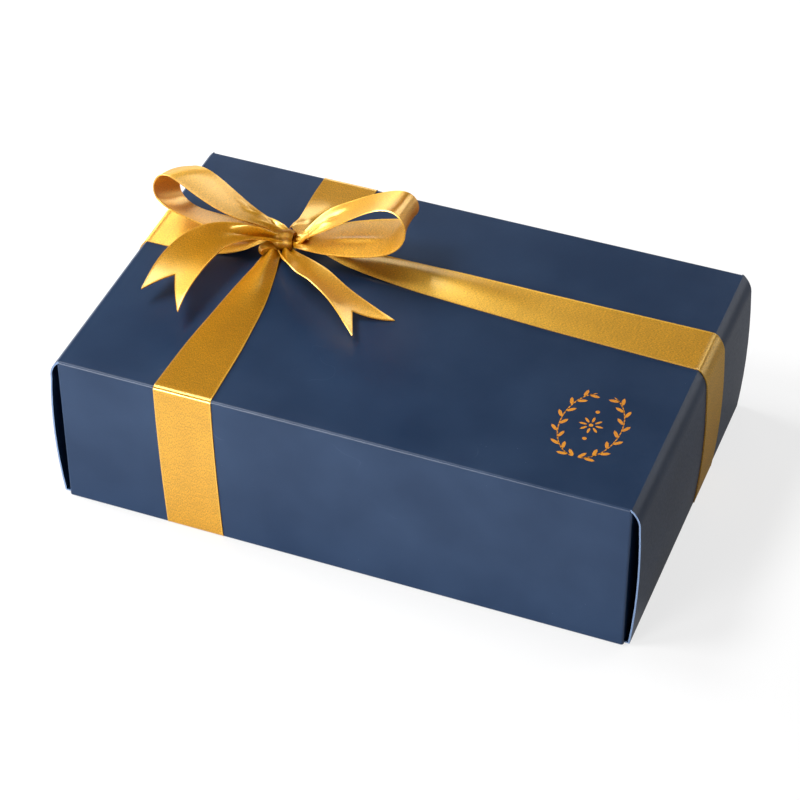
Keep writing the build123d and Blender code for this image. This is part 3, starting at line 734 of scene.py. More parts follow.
def sectionLine(kind):
    # the lid's outline seen along a crease, from its middle outwards, as (out, up) points
    s = lidSection
    top = knot["top"]
    if kind == "long":
        turn = s["halfWidth"] - s["crease"]
        bend = s["crease"] * math.sqrt(0.5)
        line = [(0, top), (turn, top)]
        line += arcPoints((turn, top), (turn + bend, top - s["crease"] + bend),
                          (s["halfWidth"], top - s["crease"]), s["creaseSteps"])
        line += [(s["halfWidth"] + s["flare"], s["rim"])]
        inside = s["halfWidth"] + s["flare"] - s["board"]
        lean = s["flare"] * s["turnIn"] / (top - s["rim"])
        line += [(inside, s["rim"]), (inside - lean, s["rim"] + s["turnIn"])]
        return line
    wall = s[kind]
    line = [(0, top), wall[0]] + arcPoints(*wall[:3], s["bendSteps"]) + arcPoints(*wall[2:], s["bowSteps"])
    return line + [(s["insideEnd"], s["rim"]), (s["insideEnd"], s["rim"] + s["turnIn"])]


def offsetLine(line, amount):
    # the same line moved outwards by an amount, with its corners kept
    moved = []
    for i, (x, y) in enumerate(line):
        ax, ay = line[max(i - 1, 0)]
        bx, by = line[min(i + 1, len(line) - 1)]
        first = Vector((x - ax, y - ay)).normalized() if i > 0 else Vector((bx - x, by - y)).normalized()
        second = Vector((bx - x, by - y)).normalized() if i < len(line) - 1 else first
        normal = (Vector((-first.y, first.x)) + Vector((-second.y, second.x))).normalized()
        stretch = 1 / max(normal.dot(Vector((-first.y, first.x))), ribbon["mitre"])
        moved.append((x + normal.x * amount * stretch, y + normal.y * amount * stretch, normal))
    return moved


def bandSurface(shape):
    line = offsetLine(sectionLine(shape["section"]), ribbon["lift"])
    start = shape["start"]
    marks = [0.0]
    for (ax, ay, _), (bx, by, _) in zip(line, line[1:]):
        marks.append(marks[-1] + math.hypot(bx - ax, by - ay))
    length = marks[-1] - start
    edgeDistance = marks[1]

    def outlineAt(distance):
        i = 0
        while i < len(marks) - 2 and marks[i + 1] < distance:
            i += 1
        share = (distance - marks[i]) / (marks[i + 1] - marks[i])
        (ax, ay, first), (bx, by, second) = line[i], line[i + 1]
        point = Vector((blendNumber(ax, bx, share), blendNumber(ay, by, share)))
        return point, first.lerp(second, share).normalized()

    def surface(along, u):
        distance = start + along
        point, out = outlineAt(distance)
        onTop = min((distance - start) / (edgeDistance - start), 1)
        left = alongCurve(shape["leftEdge"], onTop)
        right = alongCurve(shape["rightEdge"], onTop)
        down = max(knot["top"] - point.y, 0) / knot["top"]
        drift = shape["drift"] * down ** ribbon["driftPower"]
        raised = shape["knotLift"] * (1 - easeIn(along / shape["knotReach"]))
        height = gatherHeight(abs(right - left), shape["folds"]) * shape["fullness"]
        height *= 1 - easeIn(along / shape["gatherReach"])
        lift = raised + height * (1 + math.sin(math.tau * shape["folds"] * u + shape["phase"]))
        lift += shape["curl"] * math.sin(math.pi * u) * (1 - easeIn(onTop))
        lift += creaseLift(shape["creases"], along, u)
        side = blendNumber(left, right, u) + drift
        place = point + out * max(lift, 0)
        return shape["toWorld"](place.x, side, place.y)

    return surface, length


frontBand = {
    "section": "long", "start": -19.0, "drift": 2.4, "folds": 1.0, "fullness": 0.3, "phase": -2.0,
    "curl": 0.8, "knotLift": 1.4, "knotReach": 14.0, "gatherReach": 44.0,
    "creases": [(0, 30, 0.62, 0.12, 0.8)],
    "leftEdge": [-71.5, -74.2, -76.0, -77.3, -79.0, -79.7, -80.2],
    "rightEdge": [-65.5, -61.8, -58.3, -57.0, -55.6, -55.1, -54.6],
    "toWorld": lambda out, side, up: Vector((side, -out, up)), "steps": 150,
}
backBand = {
    "section": "long", "start": 28.0, "drift": 0.0, "folds": 1.0, "fullness": 0.5, "phase": 0.8,
    "curl": 0.8, "knotLift": 3.0, "knotReach": 16.0, "gatherReach": 36.0,
    "creases": [(4, 34, 0.4, 0.14, 0.8)],
    "leftEdge": [-65.0, -66.0, -67.5, -69.0, -69.4, -69.2],
    "rightEdge": [-59.0, -55.5, -50.0, -46.0, -44.6, -44.2],
    "toWorld": lambda out, side, up: Vector((side, out, up)), "steps": 130,
}
leftBand = {
    "section": "leftWall", "start": 66.0, "drift": 0.0, "folds": 1.0, "fullness": 0.5, "phase": 0.5,
    "curl": 0.5, "knotLift": 3.0, "knotReach": 16.0, "gatherReach": 34.0, "creases": [],
    "leftEdge": [21.0, 15.0, 10.5, 8.3, 8.0, 8.0], "rightEdge": [26.0, 27.0, 29.5, 32.0, 32.9, 33.0],
    "toWorld": lambda out, side, up: Vector((-out, side, up)), "steps": 130,
}
rightBand = {
    "section": "rightWall", "start": -58.0, "drift": 0.0, "folds": 1.0, "fullness": 0.4, "phase": 0.2,
    "curl": 0.6, "knotLift": 3.5, "knotReach": 24.0, "gatherReach": 60.0,
    "creases": [(-14, 112, 0.62, 0.26, 2.0)],
    "leftEdge": [24.5, 20.0, 18.2, 16.1, 14.8, 13.4, 12.5, 11.7, 11.0],
    "rightEdge": [27.5, 33.0, 34.8, 35.5, 35.5, 35.4, 35.5, 35.6, 35.7],
    "toWorld": lambda out, side, up: Vector((out, side, up)), "steps": 190,
}


def makeBand(name, shape, nodeName):
    surface, length = bandSurface(shape)
    piece = weaveStrip(name, surface, length, shape["steps"])
    finishPiece(piece, "lid", "gold_satin", goldSatin, nodeName)
    print(name, "made,", round(length), "mm long")


makeBand("ribbonFrontBand", frontBand, "ribbon_front_band")
makeBand("ribbonBackBand", backBand, "ribbon_back_band")
makeBand("ribbonLeftBand", leftBand, "ribbon_left_band")
makeBand("ribbonRightBand", rightBand, "ribbon_right_band")

# Inside the box: card, paper cups and chocolates
card = {
    "base": colour(0.46, 0.27, 0.075), "deep": colour(0.30, 0.16, 0.04), "spread": (0.36, 0.50),
    "metallic": 0.85, "ribScale": 1400 / 6, "ribBend": 0.6, "cloudScale": 45, "bump": 0.25,
    "depth": 0.00008,
}
emboss = {
    "base": colour(0.50, 0.38, 0.21), "shade": colour(0.33, 0.22, 0.10), "pitch": 620,
    "roughness": 0.42, "sheen": 0.2, "cloudScale": 260, "cloudHeight": 0.4, "ridge": (0.2, 1.0),
    "shadeSpan": (0.2, 1.2), "shadeShare": 0.6, "bump": 0.6, "depth": 0.00035,
}
mottled = {
    "cloudShare": 0.6, "tintSpan": (0.38, 0.62), "spread": (-0.05, 0.09), "bump": 0.5, "depth": 0.0003,
}
glassine = {
    "base": colour(0.030, 0.012, 0.007), "light": colour(0.085, 0.036, 0.018), "roughness": 0.34,
    "cloudScale": 40.0, "grainScale": 1200.0, "grainHeight": 0.3, "Sheen Weight": 0.1,
}
smooth = {"cloudScale": 70.0, "grainScale": 900.0, "grainHeight": 0.15}
dark = {
    "base": colour(0.022, 0.0075, 0.0040), "light": colour(0.050, 0.018, 0.009), "roughness": 0.24,
    "Coat Weight": 0.25, **smooth,
}
milk = {
    "base": colour(0.105, 0.036, 0.015), "light": colour(0.165, 0.062, 0.027), "roughness": 0.27,
    "Coat Weight": 0.2, **smooth,
}
white = {
    "base": colour(0.76, 0.58, 0.34), "light": colour(0.86, 0.72, 0.50), "roughness": 0.30,
    "Coat Weight": 0.2, **smooth,
}
cocoa = {
    "base": colour(0.075, 0.026, 0.011), "light": colour(0.23, 0.095, 0.045), "roughness": 0.88,
    "cloudScale": 320.0, "grainScale": 2600.0, "grainHeight": 1.6, "Specular IOR Level": 0.1,
}


def makeMottleGroup():
    # a moulded or pressed surface: cloudy colour, fine grain and slight waves
    group, source, result = newGroup(
        "mottledSurface",
        [("Position", "Vector"), ("Base", "Color", colour(0.1, 0.1, 0.1)),
         ("Light", "Color", colour(0.2, 0.2, 0.2)), ("Roughness", "Float", 0.3),
         ("Cloud Scale", "Float", 70.0), ("Grain Scale", "Float", 900.0),
         ("Grain Height", "Float", 0.2)],
        [("Colour", "Color"), ("Roughness", "Float"), ("Normal", "Vector")])
    position = source.outputs["Position"]
    cloud = noiseNode(group, position, source.outputs["Cloud Scale"], 4)
    grain = noiseNode(group, position, source.outputs["Grain Scale"], 3)
    share = mottled["cloudShare"]
    both = plus(group, times(group, cloud, share), times(group, grain, 1 - share))
    shade = rampNode(group, both, *mottled["tintSpan"])
    tint = mixColours(group, shade, source.outputs["Base"], source.outputs["Light"])
    rough = plus(group, source.outputs["Roughness"], rampNode(group, cloud, *noiseSpan, *mottled["spread"]))
    height = plus(group, cloud, times(group, grain, source.outputs["Grain Height"]))
    bump = bumpNode(group, height, mottled["bump"], mottled["depth"])
    feed(group, result, {"Colour": tint, "Roughness": rough, "Normal": bump})
    return group


mottleGroup = makeMottleGroup()


def makeMottled(name, look):
    # the capitalised values of a look go straight to the shader
    material, tree, shader = newMaterial(name, **{key: look[key] for key in look if key[0].isupper()})
    surface = placeGroup(tree, mottleGroup, **{
        "Position": addNode(tree, "TexCoord").outputs["Object"],
        "Base": look["base"], "Light": look["light"], "Roughness": look["roughness"],
        "Cloud Scale": look["cloudScale"], "Grain Scale": look["grainScale"],
        "Grain Height": look["grainHeight"]})
    dress(tree, shader, surface)
    return material


def makeCard():
    # gold laminate over a fine ribbed card
    material, tree, shader = newMaterial("goldCard", **{"Metallic": card["metallic"]})
    place = addNode(tree, "TexCoord").outputs["Object"]
    waves = {"Vector": place, "Scale": card["ribScale"], "Distortion": card["ribBend"]}
    ribs = [addNode(tree, "TexWave", waves, bands_direction=way).outputs["Fac"] for way in "XY"]
    cloud = noiseNode(tree, place, card["cloudScale"], 4)
    tint = mixColours(tree, rampNode(tree, cloud, *cloudSpan), card["base"], card["deep"])
    rough = rampNode(tree, cloud, *noiseSpan, *card["spread"])
    bump = bumpNode(tree, plus(tree, *ribs), card["bump"], card["depth"])
    feed(tree, shader, {"Base Color": tint, "Roughness": rough, "Normal": bump})
    return material


def makeEmbossed():
    # glossy paper pressed with a lattice of small diamonds and faint clouds; where it is pressed in, it is
    # painted darker as shade
    material, tree, shader = newMaterial("embossedPaper", **{"Roughness": emboss["roughness"],
                                                             "Sheen Weight": emboss["sheen"]})
    place = addNode(tree, "TexCoord").outputs["Object"]
    parts = addNode(tree, "SeparateXYZ", {"Vector": place})
    waves = []
    for sign in (1, -1):
        slant = plus(tree, parts.outputs["X"], times(tree, parts.outputs["Y"], sign))
        waves.append(mathNode(tree, "SINE", times(tree, slant, emboss["pitch"])))
    lattice = rampNode(tree, mathNode(tree, "MAXIMUM", *waves), *emboss["ridge"])
    cloud = noiseNode(tree, place, emboss["cloudScale"], 5)
    mark = plus(tree, lattice, times(tree, cloud, emboss["cloudHeight"]))
    shade = rampNode(tree, mark, *emboss["shadeSpan"], 0, emboss["shadeShare"])
    tint = mixColours(tree, shade, emboss["base"], emboss["shade"])
    pressed = bumpNode(tree, mark, emboss["bump"], emboss["depth"], invert=True)
    feed(tree, shader, {"Base Color": tint, "Normal": pressed})
    return material


goldCard = makeCard()
cupPaper = makeMottled("cupPaper", glassine)
embossedPaper = makeEmbossed()
darkChocolate = makeMottled("darkChocolate", dark)
milkChocolate = makeMottled("milkChocolate", milk)
whiteChocolate = makeMottled("whiteChocolate", white)
cocoaDust = makeMottled("cocoaDust", cocoa)
for layer in ("lower", "upper"):
    for part in ("layer_board", "long_strips", "cross_strips"):
        nodes[layer + "_" + part].data.materials[0] = goldCard

# Each layer's cells, read off its board
cells = {"columns": 6, "rows": 4, "boardEdge": 0.7}


def cornersOf(nodeName):
    points = [vertex.co for vertex in nodes[nodeName].data.vertices]
    return [Vector(end(point[i] for point in points) for i in range(3)) for end in (min, max)]


def cellPlaces(layer):
    # the middles of the cells, column by column
    low, high = cornersOf(layer + "_layer_board")
    inset = cells["boardEdge"] * mm
    rows = []
    for side, count in (("x", cells["columns"]), ("y", cells["rows"])):
        pitch = (getattr(high, side) - getattr(low, side) - 2 * inset) / count
        rows.append([(i - (count - 1) / 2) * pitch for i in range(count)])
    return [[(x, y) for y in rows[1]] for x in rows[0]]


def copiesAt(pattern, name, places, level):
    return joinPieces([copyPiece(pattern, Matrix.Translation((x, y, level))) for x, y in places], name)


# Cups: fluted glassine, a rounded square that opens towards its mouth
cup = {
    "corner": 8.0, "cornerCuts": 12, "sideCuts": 11, "heel": 1.4, "heelGrowth": 1.03, "paper": 0.16,
    "flute": 0.945, "lowFlute": 0.985, "spread": 5.0, "smoothAngle": 25,
}


def topFace(piece):
    faces = bmesh.from_edit_mesh(piece.data).faces
    return max(faces, key=lambda face: (face.calc_center_median().z, face.calc_area()))


def makeCupPattern(base, mouth, height):
    deselectAll()
    bpy.ops.mesh.primitive_plane_add(size=base, location=origin)
    pattern = bpy.context.object
    startEdit(pattern)
    bpy.ops.mesh.bevel(offset=cup["corner"] * mm, segments=cup["cornerCuts"], affect="VERTICES")
    edges = bmesh.from_edit_mesh(pattern.data).edges
    selectOnly([edge for edge in edges if edge.calc_length() > base / 5], "EDGE")
    bpy.ops.mesh.subdivide(number_cuts=cup["sideCuts"])
    heel, growth = cup["heel"] * mm, cup["heelGrowth"]
    for rise, share, flute in ((heel, growth, cup["lowFlute"]),
                               (height - heel, mouth / base / growth, cup["flute"])):
        selectOnly([topFace(pattern)], "FACE")
        bpy.ops.mesh.extrude_region_move(TRANSFORM_OT_translate={"value": (0, 0, rise)})
        # the mouth is opened, and then every second corner drawn in
        for step, scale in ((1, share), (2, flute)):
            selectOnly(list(topFace(pattern).verts)[::step])
            bpy.ops.transform.resize(value=(scale, scale, 1), center_override=origin)
    selectOnly([topFace(pattern)], "FACE")
    bpy.ops.mesh.delete(type="ONLY_FACE")
    turnOutwards()
    applyModifier(pattern, "SOLIDIFY", thickness=cup["paper"] * mm, offset=-1)
    return pattern


def makeCups(layer):
    low, high = cornersOf(layer + "_cups")
    places = cellPlaces(layer)
    mouth = (high.x - low.x) - (places[-1][0][0] - places[0][0][0])
    pattern = makeCupPattern(mouth - cup["spread"] * mm, mouth, high.z - low.z)
    piece = copiesAt(pattern, layer + "Cups", [place for column in places for place in column], low.z)
    discard(pattern)
    smoothByAngle(piece, cup["smoothAngle"])
    finishPiece(piece, layer + "_layer", "cup_paper", cupPaper, layer + "_cups")


# Chocolates: softened copies of the plain ones, with piping, dust, nuts and gold flecks on top
sweets = {
    "square": {"edge": 0.9, "slot": "dark_chocolate", "material": darkChocolate, "topping": whiteChocolate},
    "truffle": {"edge": 0.6, "slot": "cocoa_dusted", "material": cocoaDust},
    "heart": {"edge": 1.8, "slot": "milk_chocolate", "material": milkChocolate},
    "bar": {"edge": 0.9, "slot": "dark_chocolate", "material": darkChocolate, "topping": milkChocolate},
    "domed": {"edge": 0.8, "slot": "white_chocolate", "material": whiteChocolate, "topping": darkChocolate},
    "pyramid": {"edge": 1.2, "slot": "milk_chocolate", "material": milkChocolate, "topping": goldCard},
}
moulded = {"meshAngle": 40, "flatAngle": 1.5, "edgeAngle": 25, "edgeCuts": 3, "smoothAngle": 50}
piping = {
    "count": 4, "width": 1.5, "reach": 0.36, "pitch": 0.15, "slant": 35, "middle": 0.05,
    "squareReach": 1.5, "barReach": 1.15, "around": 12, "rings": 10,
}
nut = {
    "radius": 0.17, "rise": 0.07, "stretch": (0.85, 1.15, 0.9, 1),
    "ring": 0.19, "ringWidth": 0.6, "ringSink": 0.012, "around": 24, "rings": 14,
    "ringAround": 36, "ringSides": 10,
}
fleck = {"radius": 0.055, "cuts": 2, "place": (0.03, -0.02), "stretch": (1.5, 1.0, 0.28, 1)}
dust = {"size": 0.0035, "height": 0.9}


def pipedLine(length, width, place, turn):
    # a rounded thread of chocolate that lies on a flat top
    deselectAll()
    bpy.ops.mesh.primitive_uv_sphere_add(segments=piping["around"], ring_count=piping["rings"],
                                         radius=width / 2, location=origin)
    thread = bpy.context.object
    mesh = startEdit(thread)
    for side in (-1, 1):
        selectOnly([vertex for vertex in mesh.verts if vertex.co.x * side > width * piping["middle"]])
        bpy.ops.transform.translate(value=(side * (length - width) / 2, 0, 0))
    bpy.ops.object.mode_set(mode="OBJECT")
    thread.data.transform(Matrix.Translation(place) @ Matrix.Rotation(math.radians(turn), 4, "Z"))
    return thread


def pipedLines(kind, size, top):
    turn = piping["slant"] if kind == "square" else 90 - piping["slant"]
    slant = math.radians(turn)
    reach = piping["reach"] * size * piping[kind + "Reach"]
    lines = []
    for i in range(piping["count"]):
        offset = (i - (piping["count"] - 1) / 2) * piping["pitch"] * size
        place = (-math.sin(slant) * offset, math.cos(slant) * offset, top)
        lines.append(pipedLine(reach, piping["width"] * mm, place, turn))
    return lines


def nutAndRing(size, top):
    deselectAll()
    bpy.ops.mesh.primitive_uv_sphere_add(segments=nut["around"], ring_count=nut["rings"],
                                         radius=size * nut["radius"], location=origin)
    kernel = bpy.context.object
    rise = Matrix.Translation((0, 0, top + size * nut["rise"]))
    kernel.data.transform(rise @ Matrix.Diagonal(nut["stretch"]))
    bpy.ops.mesh.primitive_torus_add(
        major_radius=size * nut["ring"], minor_radius=piping["width"] * mm * nut["ringWidth"],
        major_segments=nut["ringAround"], minor_segments=nut["ringSides"], location=origin)
    collar = bpy.context.object
    collar.data.transform(Matrix.Translation((0, 0, top - size * nut["ringSink"])))
    return [kernel, collar]


def goldFleck(size, top):
    deselectAll()
    bpy.ops.mesh.primitive_ico_sphere_add(subdivisions=fleck["cuts"], radius=size * fleck["radius"],
                                          location=origin)
    flake = bpy.context.object
    place = Matrix.Translation((size * fleck["place"][0], size * fleck["place"][1], top))
    flake.data.transform(place @ Matrix.Diagonal(fleck["stretch"]))
    return [flake]


def toppingFor(kind, size, top):
    # the pieces that lie on one chocolate whose top is at the given height, about the origin
    if kind in ("square", "bar"):
        return pipedLines(kind, size, top)
    if kind == "domed":
        return nutAndRing(size, top)
    return goldFleck(size, top) if kind == "pyramid" else []


def makeSweets(layer, kind, column):
    look = sweets[kind]
    nodeName = layer + "_" + kind + "_chocolates"
    low, high = cornersOf(nodeName)
    piece = mergedCopy(nodeName, layer + kind.title() + "Chocolates", moulded["meshAngle"])
    startEdit(piece)
    bpy.ops.mesh.dissolve_limited(angle_limit=math.radians(moulded["flatAngle"]))
    bpy.ops.object.mode_set(mode="OBJECT")
    applyModifier(piece, "BEVEL", width=look["edge"] * mm, segments=moulded["edgeCuts"],
                  limit_method="ANGLE", angle_limit=math.radians(moulded["edgeAngle"]))
    if kind == "truffle":
        applyModifier(piece, "TRIANGULATE")
        crumbs = bpy.data.textures.new(layer + "Crumbs", "CLOUDS")
        crumbs.noise_scale = dust["size"]
        applyModifier(piece, "DISPLACE", texture=crumbs, texture_coords="LOCAL",
                      strength=dust["height"] * mm)
    smoothByAngle(piece, moulded["smoothAngle"])
    finishPiece(piece, layer + "_layer", look["slot"], look["material"])
    toppings = toppingFor(kind, high.x - low.x, high.z - low.z)
    for topping in toppings:
        paint(topping, look["topping"])
        smoothByAngle(topping, moulded["smoothAngle"])
    if toppings:
        topping = joinPieces(toppings, "topping")
        spread = copiesAt(topping, "toppings", cellPlaces(layer)[column], low.z)
        discard(topping)
        joinPieces([piece, spread], piece.name)
    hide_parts(nodeName)


for layer in ("lower", "upper"):
    makeCups(layer)
    kinds = list(sweets) if layer == "lower" else list(sweets)[::-1]
    for column, kind in enumerate(kinds):
        makeSweets(layer, kind, column)
    print(layer, "layer filled")

# Cushion pad: embossed paper over wadding, pressed into channels and crimped round its edge
pad = {
    "across": 168, "deep": 104, "crowd": 0.35, "corner": 6.0, "pullIn": 1.0, "seam": 2.4,
    "seamHeight": 0.35, "rise": 9.0, "channels": 5, "channelWidth": 3.2, "channelPress": 0.72,
    "underside": 0.55, "pullPower": 6, "edgeReach": 0.01, "smoothAngle": 60,
    "wrinkle": 0.16, "wrinkleWidth": 7.0, "wrinklePitch": 1.1, "wrinkleSway": 0.37,
}


def padSpread(i, count):
    # from -1 to 1, the rows closer together towards the edges
    even = 2 * i / count - 1
    return blendNumber(even, math.sin(math.pi / 2 * even), pad["crowd"])


def padSurface(s, t, side, halfX, halfY, halfZ):
    # a point in millimetres from the pad's middle; s and t run from -1 to 1
    x, y = s * halfX, t * halfY
    x -= math.copysign(pad["pullIn"] * (1 - t * t) * abs(s) ** pad["pullPower"], x)
    y -= math.copysign(pad["pullIn"] * (1 - s * s) * abs(t) ** pad["pullPower"], y)
    cornerX, cornerY = abs(x) - (halfX - pad["corner"]), abs(y) - (halfY - pad["corner"])
    fromEdge = min(halfX - abs(x), halfY - abs(y))
    if cornerX > 0 and cornerY > 0:
        shrink = max(cornerX, cornerY) / math.hypot(cornerX, cornerY)
        x = math.copysign(halfX - pad["corner"] + cornerX * shrink, x)
        y = math.copysign(halfY - pad["corner"] + cornerY * shrink, y)
    full = min(max((fromEdge - pad["seam"]) / pad["rise"], 0), 1)
    height = pad["seamHeight"] + (halfZ - pad["seamHeight"]) * math.sqrt(1 - (1 - full) ** 2)
    pitch = 2 * halfX / (pad["channels"] + 1)
    for k in range(pad["channels"]):
        away = abs(x - (k - (pad["channels"] - 1) / 2) * pitch)
        press = pad["channelPress"] * math.exp(-(away / pad["channelWidth"]) ** 2)
        wave = math.sin(y * pad["wrinklePitch"] + k + math.sin(y * pad["wrinkleSway"]))
        pucker = pad["wrinkle"] * math.exp(-(away / pad["wrinkleWidth"]) ** 2) * wave
        height = height * (1 - press) + pucker * full
    if fromEdge <= pad["edgeReach"]:
        height = 0
    if side < 0:
        height = min(height, halfZ) * pad["underside"] if full < 1 else height
    return Vector((x, y, side * height))


def makePad():
    low, high = cornersOf("cushion_pad")
    halves = (high - low) / 2 / mm
    mesh = bmesh.new()
    edge = {}
    for side in (1, -1):
        grid = []
        for i in range(pad["across"] + 1):
            line = []
            for j in range(pad["deep"] + 1):
                vertex = edge.get((i, j))
                if vertex is None:
                    s, t = padSpread(i, pad["across"]), padSpread(j, pad["deep"])
                    vertex = mesh.verts.new((low + high) / 2 + padSurface(s, t, side, *halves) * mm)
                if i in (0, pad["across"]) or j in (0, pad["deep"]):
                    edge[(i, j)] = vertex
                line.append(vertex)
            grid.append(line)
        for i in range(pad["across"]):
            for j in range(pad["deep"]):
                corners = [grid[i][j], grid[i + 1][j], grid[i + 1][j + 1], grid[i][j + 1]]
                mesh.faces.new(corners if side > 0 else corners[::-1])
    piece = pieceFrom(mesh, "cushionPad")
    smoothByAngle(piece, pad["smoothAngle"])
    finishPiece(piece, "pad", "embossed_paper", embossedPaper, "cushion_pad")


makePad()
print("pad made")

# Emblem: a plain wreath in copper foil, pressed on the lid
emblem = {
    "middle": (93.5, -36.5), "halfWide": 12.5, "halfLong": 20.0, "foil": 0.035, "sink": 0.01, "sides": 20,
    "leaves": 13, "leafLong": 4.6, "leafWide": 1.5, "leafPinch": 0.55, "spread": 36, "offset": 1.5,
    "stems": 26, "stemLong": 2.6, "stemWide": 0.5, "from": 12, "to": 158, "petals": 8, "petalReach": 3.4,
    "petalWide": 1.05, "petalPinch": 0.6, "dot": 1.8, "dotPlaceShare": 0.42, "pinchShares": (0.44, 0.3),
}
foil = {
    "base": colour(0.86, 0.34, 0.03), "light": colour(0.62, 0.22, 0.018), "roughness": 0.34,
    "cloudScale": 90.0, "grainScale": 1500.0, "grainHeight": 0.4, "Metallic": 0.45,
}


def foilShape(long, wide, pinch=1.0):
    # a flat shape about the origin, its ends drawn to a point where it is pinched
    deselectAll()
    bpy.ops.mesh.primitive_circle_add(
        vertices=emblem["sides"], radius=0.5 * mm, fill_type="NGON", location=origin)
    shape = bpy.context.object
    mesh = startEdit(shape)
    bpy.ops.transform.resize(value=(long, wide, 1), center_override=origin)
    for share in emblem["pinchShares"]:
        selectOnly([vertex for vertex in mesh.verts if abs(vertex.co.x) > share * long * mm])
        bpy.ops.transform.resize(value=(1, pinch, 1), center_override=origin)
    bpy.ops.mesh.select_all(action="SELECT")
    bpy.ops.mesh.extrude_region_move(TRANSFORM_OT_translate={"value": (0, 0, emblem["foil"] * mm)})
    turnOutwards()
    return shape


def branchMarks(pattern, count, lean):
    # up both sides of the wreath; those that lean do so outwards and inwards in turn
    marks = []
    for k in range(count):
        angle = math.radians(blendNumber(emblem["from"], emblem["to"], k / (count - 1)))
        way = lean * (1 if k % 2 else -1)
        for side in (-1, 1):
            x = (emblem["halfWide"] + way * emblem["offset"]) * math.sin(angle)
            y = -(emblem["halfLong"] + way * emblem["offset"]) * math.cos(angle)
            run, climb = side * emblem["halfWide"] * math.cos(angle), emblem["halfLong"] * math.sin(angle)
            turn = math.degrees(math.atan2(climb, run)) - side * way * emblem["spread"]
            marks.append((pattern, side * x, y, turn))
    return marks


def makeEmblem():
    leaf = foilShape(emblem["leafLong"], emblem["leafWide"], emblem["leafPinch"])
    petal = foilShape(emblem["petalReach"], emblem["petalWide"], emblem["petalPinch"])
    stem = foilShape(emblem["stemLong"], emblem["stemWide"])
    dot = foilShape(emblem["dot"], emblem["dot"])
    marks = [(dot, 0, 0, 0)]
    for k in range(emblem["petals"]):
        way = 2 * math.pi * k / emblem["petals"]
        place = math.cos(way) * emblem["petalReach"], math.sin(way) * emblem["petalReach"]
        marks.append((petal, *place, math.degrees(way)))
    marks += branchMarks(leaf, emblem["leaves"], 1) + branchMarks(stem, emblem["stems"], 0)
    marks += [(dot, 0, end * emblem["halfLong"] * emblem["dotPlaceShare"], 0) for end in (-1, 1)]
    lidTop = max(vertex.co.z for vertex in nodes["lid_board"].data.vertices)
    copies = []
    for pattern, x, y, turn in marks:
        place = (Vector(emblem["middle"]) + Vector((x, y))).to_3d() * mm
        place.z = lidTop - emblem["sink"] * mm
        turned = Matrix.Translation(place) @ Matrix.Rotation(math.radians(turn), 4, "Z")
        copies.append(copyPiece(pattern, turned))
    for pattern in (leaf, petal, stem, dot):
        discard(pattern)
    wreath = joinPieces(copies, "foilWreath")
    paint(wreath, makeMottled("copperFoil", foil))
    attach(wreath, "lid")


makeEmblem()
print("wreath made")

# Camera: fitted to the corners of the box
view = {
    "azimuth": 21.86, "elevation": 41.39, "roll": -0.616, "lens": 122.54, "sensor": 36.0,
    "distance": 1.18878, "across": -0.0033, "up": 0.02096, "clipStart": 0.05, "clipEnd": 20,
}


def placeCamera():
    azimuth, elevation, roll = (math.radians(view[k]) for k in ("azimuth", "elevation", "roll"))
    level = math.cos(elevation)
    back = Vector((math.sin(azimuth) * level, -math.cos(azimuth) * level, math.sin(elevation)))
    right = Vector((math.cos(azimuth), math.sin(azimuth), 0))
    up = back.cross(right)
    turnedRight = right * math.cos(roll) + up * math.sin(roll)
    turnedUp = up * math.cos(roll) - right * math.sin(roll)
    data = bpy.data.cameras.new("photoCamera")
    data.lens, data.sensor_width = view["lens"], view["sensor"]
    data.clip_start, data.clip_end = view["clipStart"], view["clipEnd"]
    camera = bpy.data.objects.new("photoCamera", data)
    scene.collection.objects.link(camera)
    place = back * view["distance"] + turnedRight * view["across"] + turnedUp * view["up"]
    turn = Matrix((turnedRight, turnedUp, back)).transposed().to_4x4()
    camera.matrix_world = Matrix.Translation(place) @ turn
    scene.camera = camera


placeCamera()

# Studio: a pale floor, soft boxes, and a surround that the camera sees as white
studio = {
    "floorSize": 6.0, "floorLevel": -0.0002, "floorColour": colour(0.82, 0.82, 0.82),
    "floorRoughness": 0.9, "floorSpecular": 0.1, "floorGlow": 0.72, "mirroredGlow": 0.8,
    "white": colour(1, 1, 1), "worldLevel": 0.05,
    "glowFrom": 0.45, "glowTo": 1.6, "frontFrom": -0.05, "frontTo": -0.12, "frontLevel": 1.0,
    "mirroredLevel": 0.23,
}
softBoxes = {
    "overhead": {"place": (-0.33, 0.05, 0.80), "size": 0.26, "watts": 3.2},
    "frontTop": {"place": (-0.33, -0.26, 0.77), "size": 0.26, "watts": 4.6},
    "rightTop": {"place": (0.46, 0.36, 0.74), "size": 0.35, "watts": 1.2},
    "leftWindow": {"place": (-0.86, 0.14, 0.26), "size": 0.5, "watts": 10.0},
    "backWindow": {"place": (-0.55, 1.1, 0.26), "size": 0.6, "watts": 3.3},
    "rightBack": {"place": (0.21, 1.15, 0.33), "size": 0.5, "watts": 4.2},
    "rightLow": {"place": (0.87, 0.88, 0.16), "size": 0.7, "watts": 2.8},
    "frontFill": {"place": (-0.55, -1.3, 0.16), "size": 0.7, "watts": 46.0},
}


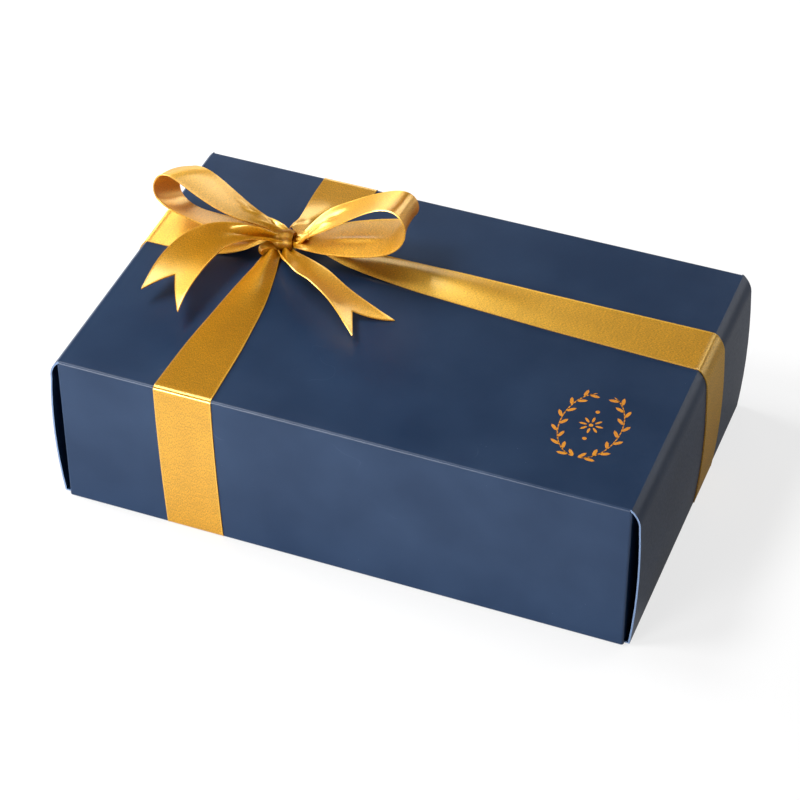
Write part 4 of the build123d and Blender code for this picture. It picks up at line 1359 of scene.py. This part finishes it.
def makeFloorMaterial():
    material, tree, shader = newMaterial("paleFloor", **{
        "Base Color": studio["floorColour"], "Roughness": studio["floorRoughness"],
        "Specular IOR Level": studio["floorSpecular"]})
    path = addNode(tree, "LightPath").outputs
    place = addNode(tree, "TexCoord").outputs["Object"]
    # painted reflection: in glossy rays the floor glows, brightest in front of the box, which mirrors it
    ahead = addNode(tree, "SeparateXYZ", {"Vector": place}).outputs["Y"]
    levels = studio["mirroredLevel"], studio["frontLevel"]
    level = rampNode(tree, ahead, studio["frontFrom"], studio["frontTo"], *levels)
    level = mathNode(tree, "MAXIMUM", level, path["Is Camera Ray"])
    glow = addNode(tree, "Emission", {"Color": studio["white"], "Strength": level})
    # the far floor goes over into the white of the surround
    away = addNode(tree, "VectorMath", {0: place}, operation="LENGTH").outputs["Value"]
    fade = rampNode(tree, away, studio["glowFrom"], studio["glowTo"], studio["floorGlow"], 1.0)
    seen = times(tree, path["Is Camera Ray"], fade)
    mirrored = mathNode(tree, "MAXIMUM", path["Is Glossy Ray"], path["Is Transmission Ray"])
    share = mathNode(tree, "MAXIMUM", seen, times(tree, mirrored, studio["mirroredGlow"]))
    mix = addNode(tree, "MixShader", {0: share, 1: shader.outputs[0], 2: glow.outputs[0]})
    feed(tree, tree.nodes["Material Output"], {"Surface": mix.outputs[0]})
    return material


def makeFloor():
    deselectAll()
    size, place = studio["floorSize"], (0, 0, studio["floorLevel"])
    bpy.ops.mesh.primitive_grid_add(x_subdivisions=4, y_subdivisions=4, size=size, location=place)
    floor = bpy.context.object
    floor.name = "floor"
    paint(floor, makeFloorMaterial())


def makeWorld():
    world = bpy.data.worlds.new("surround")
    scene.world = world
    world.use_nodes = True
    tree = world.node_tree
    seen = addNode(tree, "LightPath").outputs["Is Camera Ray"]
    level = addNode(tree, "Mix", {0: seen, 2: studio["worldLevel"], 3: 1.0}, data_type="FLOAT")
    feed(tree, tree.nodes["Background"], {"Strength": level.outputs[0], "Color": studio["white"]})


def makeSoftBox(name, place, size, watts):
    data = bpy.data.lights.new(name, "AREA")
    data.shape, data.size, data.energy = "DISK", size, watts
    lamp = bpy.data.objects.new(name, data)
    scene.collection.objects.link(lamp)
    lamp.location = place
    lamp.rotation_mode = "QUATERNION"
    lamp.rotation_quaternion = (-Vector(place)).to_track_quat("-Z", "Y")


makeFloor()
makeWorld()
for name, box in softBoxes.items():
    makeSoftBox(name, **box)
scene.view_settings.view_transform = "Standard"
print("studio set")
